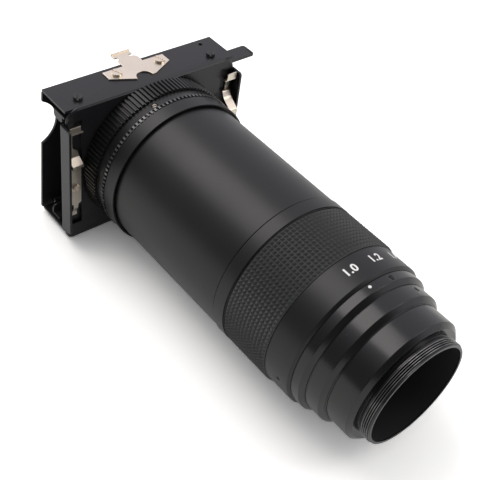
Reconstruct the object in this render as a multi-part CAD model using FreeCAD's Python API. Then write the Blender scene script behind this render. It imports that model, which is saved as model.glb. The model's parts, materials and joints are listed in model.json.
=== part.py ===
import FreeCAD, Part
import math
import os

V = FreeCAD.Vector

# Zoom slide duplicator.
# The origin is the centre of the camera mount's mouth, on the optical axis.
# +Y runs along the axis from the mouth to the slide stage, +Z is the stage's top, +X its handle side.
# A clock angle is measured about the axis from +Z towards +X, in degrees. Lengths are in millimetres.

# Running and seating clearances
running_gap = 0.05
plate_gap = 0.4
shoulder_gap = 0.1
seat_gap = 0.02

# Inner barrel, which carries everything that turns or slides
barrel_radius = 26.0
barrel_wall = 2.0
barrel_bore = barrel_radius - barrel_wall

# Outer radii that step up from the inner barrel
tube_radius = barrel_radius + 3.8
collar_radius = barrel_radius - 1.5
front_ring_radius = barrel_radius + 0.6
index_ring_radius = barrel_radius + 2.3
number_band_radius = tube_radius - 0.5
grip_seat_radius = tube_radius - 1.2
grip_radius = tube_radius + 0.3
stop_ring_radius = tube_radius + 0.3
rear_collar_radius = tube_radius + 1.3
flute_tip_radius = rear_collar_radius + 0.4

# Camera mount: a 42 mm screw thread, an undercut and the collar behind it
thread_radius = 21.0
thread_length = 4.2
thread_chamfer = 0.3
undercut_radius = thread_radius - 0.5
undercut_length = 0.9
mouth_radius = thread_radius - 1.4
mouth_lip_radius = thread_radius - 0.8
mouth_lip_depth = 2.0
spigot_wall = 4.2
collar_start = thread_length + undercut_length
collar_length = 10.0
collar_nose_radius = collar_radius - 1.6
collar_end = collar_start + collar_length
spigot_radius = barrel_bore - seat_gap
spigot_bore = barrel_bore - spigot_wall

# Stepped rings between the mount and the zoom ring
step_chamfer = 1.5
groove_width = 0.35
front_ring_end = collar_end + 7.4
index_ring_end = front_ring_end + 5.3
index_angle = -7.4
index_dot_radius = 0.75
index_dot_depth = 0.5
grub_radius = 0.9
grub_length = 2.2
grub_sink = 0.25
front_grub_angle = 29.2
index_grub_angle = 11.3
zoom_grub_angle = -101.8
zoom_grub_radius = 0.7
zoom_grub_length = 1.6
screw_slot_width = 0.6
screw_slot_depth = 0.5

# Zoom ring with its number band, rubber grip and cam sleeve
number_band_length = 11.9
number_band_end = index_ring_end + number_band_length
band_chamfer = 0.9
grip_length = 20.8
grip_end = number_band_end + grip_length
grip_rows = 12
grip_groove_depth = 0.7
cam_sleeve_wall = 1.5
cam_outer = barrel_radius + running_gap + cam_sleeve_wall
zoom_turn = 132.0
zoom_start = index_ring_end + shoulder_gap
zoom_grub_setback = 5.0
zoom_end = grip_end - shoulder_gap
stop_ring_end = grip_end + 5.5

# Main tube, and the collar and sleeve behind it
tube_wall = 1.6
tube_length = 60.6
tube_end = stop_ring_end + tube_length
tube_land = 6.0
tube_chamfer = 0.5
rear_collar_start = tube_end - 1.4
rear_collar_end = rear_collar_start + 5.7
rear_collar_lip = 0.7
rear_lip_depth = 1.7
rear_lip_chamfer = 0.25
rear_collar_chamfer = 0.4
rear_sleeve_radius = barrel_radius
rear_sleeve_bore = rear_sleeve_radius - 3.0
barrel_end = rear_collar_end - 1.9

# Lens groups inside the barrel
front_cell_start = collar_end + 10.9
front_cell_length = 16.0
front_cell_seat = 5.6
front_glass_radius = barrel_bore - 7.0
front_travel = 10.0
rear_cell_start = front_cell_start + front_cell_length + 7.5
rear_cell_length = 14.0
rear_cell_seat = 7.0
rear_glass_radius = barrel_bore - 9.0
rear_travel = 4.0
rear_follower_offset = 3.2
spigot_end = front_cell_start - 1.0
cell_shelf_width = 1.2
glass_edge = 3.0
glass_curve = 70.0
retainer_length = 1.6
retainer_wall = 1.4
follower_radius = 1.2
follower_count = 3
follower_reach = 1.1
follower_seat = 1.6
front_follower_angle = 60.0
rear_follower_angle = 0.0
slot_clearance = 0.12

# Turning ring of the stage, with its flutes, set screws, hub and retaining ring
stage_ring_start = rear_collar_end + 0.2
crown_end = stage_ring_start + 1.4
band_end = crown_end + 4.3
stage_ring_end = band_end + 7.7
crown_tip_radius = rear_collar_radius - 0.1
band_front_radius = rear_collar_radius - 0.6
band_rear_radius = rear_collar_radius - 0.2
flute_count = 114
flute_depth = 0.75
flute_root = flute_tip_radius - flute_depth
rear_sleeve_end = stage_ring_end - 3.8
retaining_length = 2.0
retaining_start = rear_sleeve_end - retaining_length - shoulder_gap
retaining_radius = rear_sleeve_radius + 2.0
hub_start = stage_ring_end - 2.5
hub_flange_radius = flute_tip_radius - 2.9
hub_radius = hub_flange_radius - 4.1
hub_bore = hub_radius - 4.0
set_screw_angle = -15.4
set_screw_y = (crown_end + band_end) / 2 - 0.35
set_screw_radius = 1.1
set_screw_length = 3.8
set_screw_stand = 0.1

# Slide stage: sheet metal, the base plate on the hub and the housing that slides over it
sheet = 1.0
front_face = stage_ring_end + plate_gap
inner_face = front_face + sheet
stage_half_width = flute_tip_radius + 6.7
stage_top = 30.1
stage_bottom = -31.4
shelf_depth = 17.6
flange_back = inner_face + shelf_depth - 1.9
edge_break = 0.5
corner_radius = 2.5
upper_corner_radius = 5.0
stop_hole_radius = 0.9
stop_hole_x = stage_half_width - 6.9
stop_hole_y = flange_back - 3.0
rise_up = 2.4
rise_down = 1.6
base_top = stage_top - 5.9
base_bottom = stage_bottom + 6.2
base_front = inner_face + plate_gap
base_back = base_front + sheet
wing_front = front_face - 4.0
wing_corner = 1.2
wing_bend = 0.9
wing_inner = stage_half_width + plate_gap
wing_outer = wing_inner + sheet
base_screw_circle = (hub_radius + hub_bore) / 2
base_screw_radius = 1.1
base_screw_head = 1.9
base_screw_depth = 1.7
shelf_top = stage_bottom + 3.5

# Leaf springs on the front plate, and the slots that they pass through
spring_sheet = 0.45
spring_centre = flute_tip_radius + 3.2
spring_half_width = 2.3
spring_foot = -13.6
spring_knee = 5.4
spring_knee_run = 1.6
spring_in = spring_knee + 6.0
spring_heel = spring_in + 6.0
spring_lip = spring_heel + 2.6
spring_tip = spring_heel + 6.3
spring_bulge = 1.7
spring_hook = 2.0
spring_heel_gap = 0.15
spring_tab_start = spring_lip + 1.0
spring_tab_shift = 1.0
spring_tail_bend = spring_foot - 1.8
spring_tail_in = spring_foot - 4.4
spring_tail = spring_foot - 6.9
spring_tail_half_width = 1.0
spring_screw_z = spring_foot + 8.2
spring_screw_radius = 1.0
spring_screw_head = 2.0
spring_screw_head_height = 0.9
slot_low_top = spring_foot - 1.6
slot_low = slot_low_top - 9.0
slot_high = spring_knee + 0.2
slot_high_length = 19.4
slot_high_top = slot_high + slot_high_length
slot_half_width = spring_half_width + 0.5

# Sideways slide with its handle, gate and rails
shift_top = stage_top - 3.0
shift_front = inner_face + 0.6
shift_back = shift_front + 7.2
shift_reach = stage_half_width + 12.1
shift_arm_corner = 1.4
shift_lip_drop = 3.5
shift_lip_front = base_back + 0.5
lip_corner = 1.5
shift_travel = 5.0
gate_front = shift_back - sheet
gate_half_width = stage_half_width - 7.2
gate_window = 18.5
rail_front = shift_back + 3.3
rail_back = rail_front + sheet
rail_half_width = stage_half_width - 0.8
rail_bottom_face = shelf_top + plate_gap
rail_top = rail_bottom_face + 4.5
rail_corner = 2.0
upper_rail_bottom = shift_top - 4.1

# Guide screws through the top flange, with their spacers and nuts
guide_screw_x = stage_half_width - 8.1
guide_screw_y = (shift_front + shift_back) / 2 + 0.3
guide_shank_radius = 1.2
guide_head_radius = 1.75
guide_head_height = 1.3
guide_nut_radius = 1.95
guide_nut_height = 1.4
guide_screw_length = stage_top - shift_top + sheet + guide_nut_height + 0.3

# Top clip and its screws
clip_sheet = 0.6
clip_centre = -0.4
clip_half_width = 13.7
clip_front = front_face + 5.2
clip_corner_y = clip_front + 4.6
clip_back = clip_corner_y + 4.8
clip_front_half_width = 4.2
clip_notch_x = -1.1
clip_notch_radius = 3.3
clip_tongue_half_width = 4.5
clip_tongue_end = flange_back + 2.6
clip_shoulder = 2.0
clip_neck_half_width = 2.4
clip_head_half_width = 4.1
clip_head_offset = 0.5
clip_head_start = clip_tongue_end + 1.2
clip_head_end = clip_head_start + 2.2
clip_head_lip = 0.9
clip_screw_x = 9.7
clip_screw_y = clip_front + 6.2
clip_screw_radius = 1.0
clip_screw_head = 2.2
clip_screw_head_height = 0.9

# Back door with the opal diffuser, hinged on the shelf's rear edge
hinge_pin_radius = 0.6
hinge_knuckle_radius = 1.1
door_knuckle = 6.0
shelf_knuckle = 4.0
hinge_inner = 18.0
hinge_side_gap = 0.2
hinge_y = inner_face + shelf_depth + hinge_knuckle_radius
hinge_z = shelf_top - sheet / 2
door_front = hinge_y
door_back = door_front + sheet
door_top = stage_top - 1.4
door_bottom = hinge_z - 0.9
door_lean = 3.4
door_notch_z = 14.8
door_notch_depth = 6.0
door_notch_radius = 11.4
door_corner = 3.0
door_lower_corner = 0.8
door_window = 19.0
diffuser_half = door_window + 2.5
diffuser_sheet = 1.5
diffuser_back = door_back + diffuser_sheet
door_frame_half = diffuser_half + 2.0
door_frame_sheet = 0.8
door_frame_window = door_window + 0.5

# How far a cutter reaches past what it cuts
past = 1.0

sideways = V(1, 0, 0)
spindle = V(0, 1, 0)
upright = V(0, 0, 1)
origin = V(0, 0, 0)
os.makedirs("parts", exist_ok=True)
made = []


def save(name, shape):
    """Writes one node and notes how many solids it holds."""
    made.append((name, len(shape.Solids), shape.Volume))
    shape.exportStep("parts/" + name + ".step")


def turned(profile):
    """A solid of revolution about the axis from (radius, y) corners."""
    corners = [V(r, y, 0) for r, y in profile]
    wire = Part.makePolygon(corners + corners[:1])
    return Part.Face(wire).revolve(origin, spindle, 360)


def tube(y0, y1, outer, inner):
    """A plain tube or washer on the axis."""
    return turned([(inner, y0), (outer, y0), (outer, y1), (inner, y1)])


def flush(a, b):
    """Whether two coordinates are the same."""
    return abs(a - b) < 1e-6


def disc(y0, y1, radius):
    """A plain cylinder on the axis."""
    return Part.makeCylinder(radius, y1 - y0, V(0, y0, 0), spindle)


def block(x0, x1, y0, y1, z0, z1):
    """A box from its six planes."""
    return Part.makeBox(x1 - x0, y1 - y0, z1 - z0, V(x0, y0, z0))


def drill(radius, place, direction, depth):
    """A drill that starts just before place and goes depth along direction."""
    return Part.makeCylinder(radius, depth + 2 * past, place - direction * past, direction)


def about_axis(shape, angle):
    """A copy turned about the optical axis to a clock angle."""
    copy = shape.copy()
    copy.rotate(origin, spindle, angle)
    return copy


def radial_pin(radius, r0, r1, y, angle):
    """A round pin that points away from the axis."""
    pin = Part.makeCylinder(radius, r1 - r0, V(0, y, r0), upright)
    return about_axis(pin, angle)


def around(count, start):
    """Clock angles of a pattern about the axis."""
    return [start + 360.0 * i / count for i in range(count)]


def fluted(tip, root, count, y0, y1):
    """A ring blank with straight V flutes along the axis."""
    corners = []
    for i in range(count):
        for radius, share in ((tip, -0.22), (tip, 0.22), (root, 0.5)):
            a = 2 * math.pi * (i + share) / count
            corners.append(V(radius * math.sin(a), y0, radius * math.cos(a)))
    return Part.Face(Part.makePolygon(corners + corners[:1])).extrude(V(0, y1 - y0, 0))


def cam_slot(y0, travel, angle):
    """The cutter of one helical slot in the cam sleeve, from clock angle to clock angle plus the turn."""
    inner = barrel_radius - past / 2
    outer = cam_outer + past
    half = follower_radius + slot_clearance
    path = Part.makeHelix(travel * 360.0 / zoom_turn, travel, inner)
    slope = math.atan2(travel, math.radians(zoom_turn) * inner)
    up = V(0, -math.sin(slope), math.cos(slope))
    corners = [V(r, 0, 0) + up * h for r, h in ((inner, -half), (outer, -half), (outer, half), (inner, half))]
    section = Part.makePolygon(corners + corners[:1])
    shell = Part.BRepOffsetAPI.MakePipeShell(path)
    shell.setFrenetMode(True)
    shell.add(section)
    shell.build()
    shell.makeSolid()
    cutter = shell.shape()
    # The helix climbs +Z from +X, so it is laid over: +Z becomes +Y and +X becomes the clock's zero.
    turn = FreeCAD.Rotation(upright, sideways, spindle, "ZXY")
    cutter.Placement = FreeCAD.Placement(V(0, y0, 0), turn)
    cutter = about_axis(cutter, angle)
    mouths = []
    for y, a in ((y0, angle), (y0 + travel, angle + zoom_turn)):
        mouths.append(radial_pin(half + seat_gap, inner - past / 4, outer + past / 4, y, a))
    return mouths + [cutter]


def plate_outline(points):
    """A closed wire through corners in one plane."""
    return Part.makePolygon(points + points[:1])


def rounded_plate(x0, x1, y0, y1, z0, z1, radius, which=(1, 1, 1, 1)):
    """A plate square to the axis. Flags round its corners: left bottom, right bottom, right top, left top."""
    plate = block(x0, x1, y0, y1, z0, z1)
    wanted = [(x0, z0), (x1, z0), (x1, z1), (x0, z1)]
    picked = [c for c, flag in zip(wanted, which) if flag]
    edges = []
    for edge in plate.Edges:
        ends = [vertex.Point for vertex in edge.Vertexes]
        if flush(ends[0].y, ends[1].y):
            continue
        if any(flush(ends[0].x, x) and flush(ends[0].z, z) for x, z in picked):
            edges.append(edge)
    return plate.makeFillet(radius, edges)


def strip(line, thickness, x0, x1):
    """A bent sheet strip: a centre line of (y, z) corners, given a thickness and a width along X."""
    left = []
    right = []
    count = len(line)
    for i in range(count):
        here = V(0, line[i][0], line[i][1])
        before = here - V(0, *line[i - 1]) if i > 0 else None
        after = V(0, *line[i + 1]) - here if i < count - 1 else None
        if before is not None:
            before.normalize()
        if after is not None:
            after.normalize()
        if before is None:
            before = after
        if after is None:
            after = before
        bisector = before + after
        bisector.normalize()
        normal = V(0, bisector.z, -bisector.y)
        reach = thickness / 2 / (V(0, before.z, -before.y).dot(normal))
        left.append(here + normal * reach)
        right.append(here - normal * reach)
    outline = [V(x0, p.y, p.z) for p in left + right[::-1]]
    return Part.Face(plate_outline(outline)).extrude(V(x1 - x0, 0, 0))


def slotted_screw(base, direction, head_radius, head_height, shank_radius, shank_length, slot_angle):
    """A cheese-head screw: the head stands on base along direction, the shank goes the other way."""
    head = Part.makeCylinder(head_radius, head_height, origin, V(0, 0, 1))
    rim = [e for e in head.Edges if len(e.Vertexes) == 1 and e.Vertexes[0].Point.z > head_height / 2]
    head = head.makeChamfer(min(0.25, head_height / 3), rim)
    shank = Part.makeCylinder(shank_radius, shank_length, origin, V(0, 0, -1))
    slot = Part.makeBox(2 * head_radius + 2, screw_slot_width, screw_slot_depth + 1)
    slot.translate(V(-head_radius - 1, -screw_slot_width / 2, head_height - screw_slot_depth))
    slot.rotate(origin, V(0, 0, 1), slot_angle)
    screw = head.fuse(shank).cut(slot)
    turn = FreeCAD.Rotation(V(0, 0, 1), direction)
    screw.Placement = FreeCAD.Placement(base, turn)
    return screw


def grub_group(angle, y, surface, radius, length):
    """Three slotted grub screws, sunk just under a ring's surface."""
    screws = []
    for a in around(3, angle):
        body = radial_pin(radius, surface - length, surface - grub_sink, y, 0)
        cut = block(-radius, radius, y - screw_slot_width / 3, y + screw_slot_width / 3,
                    surface - grub_sink - screw_slot_depth, surface)
        screws.append(about_axis(body.cut(cut), a))
    return screws


def grub_holes(angle, y, surface, radius, length):
    """The threaded holes that those screws fill."""
    return [radial_pin(radius, surface - length, surface + 1, y, a) for a in around(3, angle)]


front_grub_y = (collar_end + step_chamfer + front_ring_end) / 2 + 0.6
index_grub_y = (front_ring_end + step_chamfer + index_ring_end) / 2
zoom_grub_y = zoom_start + zoom_grub_setback
dot_y = index_grub_y + 0.2


def camera_mount_sleeve():
    """The threaded nose, its shoulder and the spigot that the stepped rings sit on."""
    profile = [
        (mouth_lip_radius, 0),
        (thread_radius - thread_chamfer, 0),
        (thread_radius, thread_chamfer),
        (thread_radius, thread_length - thread_chamfer),
        (undercut_radius, thread_length),
        (undercut_radius, collar_start),
        (collar_nose_radius, collar_start),
        (collar_radius, collar_start + step_chamfer),
        (collar_radius, collar_end),
        (spigot_radius, collar_end),
        (spigot_radius, spigot_end),
        (spigot_bore, spigot_end),
        (spigot_bore, collar_start),
        (mouth_radius, collar_start),
        (mouth_radius, mouth_lip_depth),
        (mouth_lip_radius, mouth_lip_depth),
    ]
    return turned(profile)


def stepped_ring(y0, y1, outer, bore):
    """A turned ring with a wide chamfer at its front and a narrow groove in front of that."""
    profile = [
        (bore, y0),
        (outer - step_chamfer - groove_width, y0),
        (outer - step_chamfer - groove_width, y0 + groove_width),
        (outer - step_chamfer, y0 + groove_width),
        (outer, y0 + step_chamfer + groove_width),
        (outer, y1),
        (bore, y1),
    ]
    return turned(profile)


save("camera_mount_sleeve", camera_mount_sleeve())

front_grub = (front_grub_angle, front_grub_y, front_ring_radius, grub_radius, grub_length)
front_ring = stepped_ring(collar_end, front_ring_end, front_ring_radius, barrel_bore)
for hole in grub_holes(*front_grub):
    front_ring = front_ring.cut(hole)
save("front_ring", front_ring)

index_seat = barrel_radius + seat_gap
index_ring = stepped_ring(front_ring_end, index_ring_end, index_ring_radius, index_seat)
inner_step = tube(front_ring_end, spigot_end, index_seat, barrel_bore)
index_ring = index_ring.fuse(inner_step).removeSplitter()
index_grub = (index_grub_angle, index_grub_y, index_ring_radius, grub_radius, grub_length)
for hole in grub_holes(*index_grub):
    index_ring = index_ring.cut(hole)
dot_floor = index_ring_radius - index_dot_depth
dot_seat = radial_pin(index_dot_radius, dot_floor, index_ring_radius + past, dot_y, index_angle)
index_ring = index_ring.cut(dot_seat)
save("index_ring", index_ring)

ring_skin = disc(dot_y - index_dot_radius - past, dot_y + index_dot_radius + past, index_ring_radius)
save("index_dot", dot_seat.common(ring_skin))

save("ring_grub_screws", Part.makeCompound(grub_group(*front_grub) + grub_group(*index_grub)))


def follower_slots(y0, travel, angle):
    """Straight slots through the inner barrel that the followers of one lens group run in."""
    half = follower_radius + slot_clearance
    cutters = []
    for a in around(follower_count, angle):
        for y in (y0, y0 + travel):
            cutters.append(radial_pin(half, barrel_bore - past, barrel_radius + past, y, a))
        straight = block(-half, half, y0, y0 + travel, barrel_bore - past, barrel_radius + past)
        cutters.append(about_axis(straight, a))
    return cutters


front_follower_y = front_cell_start + front_cell_length / 2
rear_follower_y = rear_cell_start + rear_follower_offset

inner_barrel = tube(spigot_end, barrel_end, barrel_radius, barrel_bore)
for cutter in follower_slots(front_follower_y, front_travel, front_follower_angle):
    inner_barrel = inner_barrel.cut(cutter)
for cutter in follower_slots(rear_follower_y, rear_travel, rear_follower_angle):
    inner_barrel = inner_barrel.cut(cutter)
save("inner_barrel", inner_barrel)


def cam_sleeve():
    """The sleeve with six helical slots that turns on the inner barrel and drives both lens groups."""
    sleeve = tube(zoom_start, zoom_end, cam_outer, barrel_radius + running_gap)
    groups = [(front_follower_y, front_travel, front_follower_angle)]
    groups.append((rear_follower_y, rear_travel, rear_follower_angle))
    for y, travel, first in groups:
        for a in around(follower_count, first):
            for cutter in cam_slot(y, travel, a):
                sleeve = sleeve.cut(cutter)
    return sleeve


save("cam_sleeve", cam_sleeve())


def zoom_ring():
    """The number band with the thinner sleeve behind it that carries the grip."""
    bore = cam_outer + seat_gap
    profile = [
        (bore, zoom_start),
        (number_band_radius - band_chamfer, zoom_start),
        (number_band_radius, zoom_start + band_chamfer),
        (number_band_radius, number_band_end),
        (grip_seat_radius, number_band_end),
        (grip_seat_radius, zoom_end),
        (bore, zoom_end),
    ]
    ring = turned(profile)
    for hole in grub_holes(*zoom_grub):
        ring = ring.cut(hole)
    return ring


zoom_grub = (zoom_grub_angle, zoom_grub_y, number_band_radius, zoom_grub_radius, zoom_grub_length)
save("zoom_ring", zoom_ring())
save("zoom_ring_grub_screws", Part.makeCompound(grub_group(*zoom_grub)))


def rubber_grip():
    """The rubber sleeve with its rows of ridges round the ring."""
    start = number_band_end + seat_gap
    pitch = (zoom_end - start) / grip_rows
    profile = [(grip_seat_radius + seat_gap, start)]
    for i in range(grip_rows):
        profile.append((grip_radius - grip_groove_depth, start + pitch * i))
        profile.append((grip_radius, start + pitch * (i + 0.38)))
        profile.append((grip_radius, start + pitch * (i + 0.62)))
    profile.append((grip_radius - grip_groove_depth, zoom_end))
    profile.append((grip_seat_radius + seat_gap, zoom_end))
    return turned(profile)


save("rubber_grip", rubber_grip())
save("grip_stop_ring", tube(grip_end, stop_ring_end, stop_ring_radius, barrel_radius + seat_gap))


def main_tube():
    """The long outer tube, thin in the middle and thick where it seats on the inner barrel."""
    start = stop_ring_end + groove_width
    bore = barrel_radius + seat_gap
    hollow = tube_radius - tube_wall
    profile = [
        (bore, start),
        (tube_radius, start),
        (tube_radius, tube_end - tube_chamfer),
        (tube_radius - tube_chamfer, tube_end),
        (bore, tube_end),
        (bore, tube_end - tube_land),
        (hollow, tube_end - tube_land),
        (hollow, start + tube_land),
        (bore, start + tube_land),
    ]
    return turned(profile)


save("main_tube", main_tube())


def rear_collar():
    """The collar that overhangs the tube's end, in one piece with the sleeve that the stage turns on."""
    lip_inner = rear_collar_radius - rear_collar_lip
    web = rear_collar_start + rear_lip_depth
    bore = barrel_radius + seat_gap
    step = barrel_end + shoulder_gap
    profile = [
        (bore, web),
        (lip_inner, web),
        (lip_inner, rear_collar_start),
        (rear_collar_radius - rear_lip_chamfer, rear_collar_start),
        (rear_collar_radius, rear_collar_start + rear_lip_chamfer),
        (rear_collar_radius, rear_collar_end - rear_collar_chamfer),
        (rear_collar_radius - rear_collar_chamfer, rear_collar_end),
        (rear_sleeve_radius, rear_collar_end),
        (rear_sleeve_radius, rear_sleeve_end),
        (rear_sleeve_bore, rear_sleeve_end),
        (rear_sleeve_bore, step),
        (bore, step),
    ]
    return turned(profile)


save("rear_collar", rear_collar())
retaining_bore = rear_sleeve_radius + seat_gap
retaining_end = retaining_start + retaining_length
save("stage_retaining_ring", tube(retaining_start, retaining_end, retaining_radius, retaining_bore))


def lens_cell(y0, length, bore, land, seat, both_ends):
    """A sliding cell: bored for its glass, with a narrower land that the glass sits against."""
    outer = barrel_bore - running_gap
    profile = [(bore, y0), (outer, y0), (outer, y0 + length)]
    if both_ends:
        profile += [(bore, y0 + length), (bore, y0 + length - seat), (land, y0 + length - seat)]
    else:
        profile += [(land, y0 + length)]
    profile += [(land, y0 + seat), (bore, y0 + seat)]
    return turned(profile)


def glass(radius, y0, front_curve, rear_curve):
    """A lens element: a straight edge with a flat rim, and domed faces where a curve is given."""
    dome = radius - retainer_wall - shoulder_gap
    element = disc(y0, y0 + glass_edge, radius)
    for curve, face, side in ((front_curve, y0, -1), (rear_curve, y0 + glass_edge, 1)):
        if not curve:
            continue
        sag = curve - math.sqrt(curve ** 2 - dome ** 2)
        ball = Part.makeSphere(curve, V(0, face + side * (sag - curve), 0))
        slab = disc(min(face, face + side * (sag + 1)), max(face, face + side * (sag + 1)), dome)
        element = element.fuse(ball.common(slab))
    return element


def followers(y, angle):
    """The pins that stand out of a cell, through the barrel's slots, into the cam sleeve."""
    start = barrel_bore - running_gap - follower_seat
    tip = barrel_radius + running_gap + follower_reach
    return [radial_pin(follower_radius, start, tip, y, a) for a in around(follower_count, angle)]


def drilled_cell(cell, y, angle):
    """The cell with the holes that its followers seat in."""
    start = barrel_bore - running_gap - follower_seat
    for a in around(follower_count, angle):
        cell = cell.cut(radial_pin(follower_radius, start, barrel_radius, y, a))
    return cell


front_cell = lens_cell(front_cell_start, front_cell_length, front_glass_radius + seat_gap,
                       front_glass_radius - cell_shelf_width, front_cell_seat, True)
save("front_lens_cell", drilled_cell(front_cell, front_follower_y, front_follower_angle))
first_glass_y = front_cell_start + front_cell_seat - glass_edge
second_glass_y = front_cell_start + front_cell_length - front_cell_seat
front_glasses = [glass(front_glass_radius, first_glass_y, glass_curve, 0)]
front_glasses.append(glass(front_glass_radius, second_glass_y, 0, glass_curve))
save("front_lens_elements", Part.makeCompound(front_glasses))
front_rings = [tube(first_glass_y - retainer_length, first_glass_y, front_glass_radius,
                    front_glass_radius - retainer_wall)]
second_ring_y = second_glass_y + glass_edge
front_rings.append(tube(second_ring_y, second_ring_y + retainer_length, front_glass_radius,
                        front_glass_radius - retainer_wall))
save("front_lens_retainers", Part.makeCompound(front_rings))
save("front_cam_followers", Part.makeCompound(followers(front_follower_y, front_follower_angle)))

rear_cell = lens_cell(rear_cell_start, rear_cell_length, rear_glass_radius + seat_gap,
                      rear_glass_radius - cell_shelf_width, rear_cell_seat, False)
save("rear_lens_cell", drilled_cell(rear_cell, rear_follower_y, rear_follower_angle))
rear_glass_y = rear_cell_start + rear_cell_seat - glass_edge
save("rear_lens_element", glass(rear_glass_radius, rear_glass_y, glass_curve, glass_curve))
save("rear_lens_retainer", tube(rear_glass_y - retainer_length, rear_glass_y, rear_glass_radius,
                                rear_glass_radius - retainer_wall))
save("rear_cam_followers", Part.makeCompound(followers(rear_follower_y, rear_follower_angle)))


def stage_ring():
    """The turning ring: a low crown of teeth, a smooth band with set screws, then long flutes."""
    ring = fluted(crown_tip_radius, crown_tip_radius - flute_depth, flute_count, stage_ring_start, crown_end)
    band = turned([
        (0, crown_end),
        (band_front_radius, crown_end),
        (band_rear_radius, band_end),
        (0, band_end),
    ])
    rear = fluted(flute_tip_radius, flute_root, flute_count, band_end, stage_ring_end)
    ring = ring.fuse(band).fuse(rear)
    pocket = retaining_start - shoulder_gap
    bore = turned([
        (0, stage_ring_start - past),
        (rear_sleeve_radius + running_gap, stage_ring_start - past),
        (rear_sleeve_radius + running_gap, pocket),
        (retaining_radius + plate_gap, pocket),
        (retaining_radius + plate_gap, hub_start),
        (hub_flange_radius + seat_gap, hub_start),
        (hub_flange_radius + seat_gap, stage_ring_end + past),
        (0, stage_ring_end + past),
    ])
    ring = ring.cut(bore)
    for a in around(3, set_screw_angle):
        hole = radial_pin(set_screw_radius, barrel_radius - past, flute_tip_radius + past, set_screw_y, a)
        ring = ring.cut(hole)
    return ring


save("stage_ring", stage_ring())


def stage_set_screws():
    """Three slotted screws in the smooth band that lock the stage's turn."""
    top = band_front_radius + set_screw_stand
    screws = []
    for a in around(3, set_screw_angle):
        screw = radial_pin(set_screw_radius, top - set_screw_length, top, set_screw_y, 0)
        slot = block(-set_screw_radius, set_screw_radius, set_screw_y - screw_slot_width / 2,
                     set_screw_y + screw_slot_width / 2, top - screw_slot_depth, top + past)
        screws.append(about_axis(screw.cut(slot), a))
    return screws


save("stage_set_screws", Part.makeCompound(stage_set_screws()))


def base_screw_places():
    """Clock angles of the four screws that hold the base plate on the hub."""
    return around(4, 45.0)


def stage_hub():
    """The flanged hub in the back of the turning ring, which carries the base plate."""
    hub = turned([
        (hub_bore, hub_start),
        (hub_flange_radius, hub_start),
        (hub_flange_radius, stage_ring_end),
        (hub_radius, stage_ring_end),
        (hub_radius, base_front),
        (hub_bore, base_front),
    ])
    hole_bottom = V(0, base_front - base_screw_depth, base_screw_circle)
    hole = Part.makeCylinder(base_screw_radius, base_screw_depth + past, hole_bottom, spindle)
    for a in base_screw_places():
        hub = hub.cut(about_axis(hole, a))
    return hub


save("stage_hub", stage_hub())


def base_plate():
    """The plate on the hub, with side wings bent forward round the housing's edges."""
    plate = block(-wing_outer, wing_outer, base_front, base_back, base_bottom, base_top)
    for x0, x1 in ((-wing_outer, -wing_inner), (wing_inner, wing_outer)):
        wing = block(x0, x1, wing_front, base_back, base_bottom, base_top)
        front = [e for e in wing.Edges if flush(e.BoundBox.YMax, wing_front)]
        lips = [e for e in front if e.BoundBox.XLength > sheet / 2]
        plate = plate.fuse(wing.makeFillet(wing_corner, lips))
    plate = plate.removeSplitter()
    bends = []
    for edge in plate.Edges:
        box = edge.BoundBox
        tall = box.ZLength > (base_top - base_bottom) / 2
        if tall and flush(box.YMax, base_back) and flush(box.YMin, base_back):
            bends.append(edge)
    plate = plate.makeFillet(wing_bend, bends)
    plate = plate.cut(drill(hub_bore, V(0, base_front, 0), spindle, sheet))
    hole = drill(base_screw_radius, V(0, base_front, base_screw_circle), spindle, sheet)
    for a in base_screw_places():
        plate = plate.cut(about_axis(hole, a))
    return plate


save("base_plate", base_plate())


def base_plate_screws():
    """The four slotted screws behind the base plate."""
    screws = []
    place = V(0, base_back, base_screw_circle)
    for a in base_screw_places():
        screw = slotted_screw(place, spindle, base_screw_head, sheet, base_screw_radius,
                              sheet + base_screw_depth, 0)
        screws.append(about_axis(screw, a))
    return screws


save("base_plate_screws", Part.makeCompound(base_plate_screws()))


def stage_housing():
    """The front plate and top flange bent from one sheet, with the openings in both."""
    front = rounded_plate(-stage_half_width, stage_half_width, front_face, inner_face,
                          stage_bottom, stage_top, corner_radius, (1, 1, 0, 0))
    under = stage_top - sheet
    uppers = []
    for edge in front.Edges:
        box = edge.BoundBox
        if box.YLength > sheet / 2 and flush(box.ZMax, stage_top) and flush(box.ZMin, stage_top):
            uppers.append(edge)
    front = front.makeFillet(upper_corner_radius, uppers)
    rim = [e for e in front.Edges if flush(e.BoundBox.YMax, front_face) and flush(e.BoundBox.YMin, front_face)]
    front = front.makeChamfer(edge_break, rim)
    top = block(-stage_half_width, stage_half_width, inner_face, flange_back, under, stage_top)
    shell = front.fuse(top).removeSplitter()
    shell = shell.cut(drill(stop_hole_radius, V(stop_hole_x, stop_hole_y, under), upright, sheet))
    opening = hub_radius + plate_gap
    for z in (-rise_up, rise_down):
        shell = shell.cut(drill(opening, V(0, front_face, z), spindle, sheet))
    shell = shell.cut(through_front(-opening, opening, -rise_up, rise_down))
    for side in (-1, 1):
        x = side * spring_centre
        shell = shell.cut(through_front(x - slot_half_width, x + slot_half_width, slot_low, slot_low_top))
        shell = shell.cut(through_front(x - slot_half_width, x + slot_half_width, slot_high, slot_high_top))
        shell = shell.cut(drill(spring_screw_radius, V(x, front_face, spring_screw_z), spindle, sheet))
        place = V(side * guide_screw_x, guide_screw_y, under)
        shell = shell.cut(drill(guide_shank_radius, place, upright, sheet))
        place = V(side * clip_screw_x, clip_screw_y, under)
        shell = shell.cut(drill(clip_screw_radius, place, upright, sheet))
    return shell


def through_front(x0, x1, z0, z1):
    """The cutter of a square opening in the front plate."""
    return block(x0, x1, front_face - past, inner_face + past, z0, z1)


save("stage_housing", stage_housing())


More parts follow.
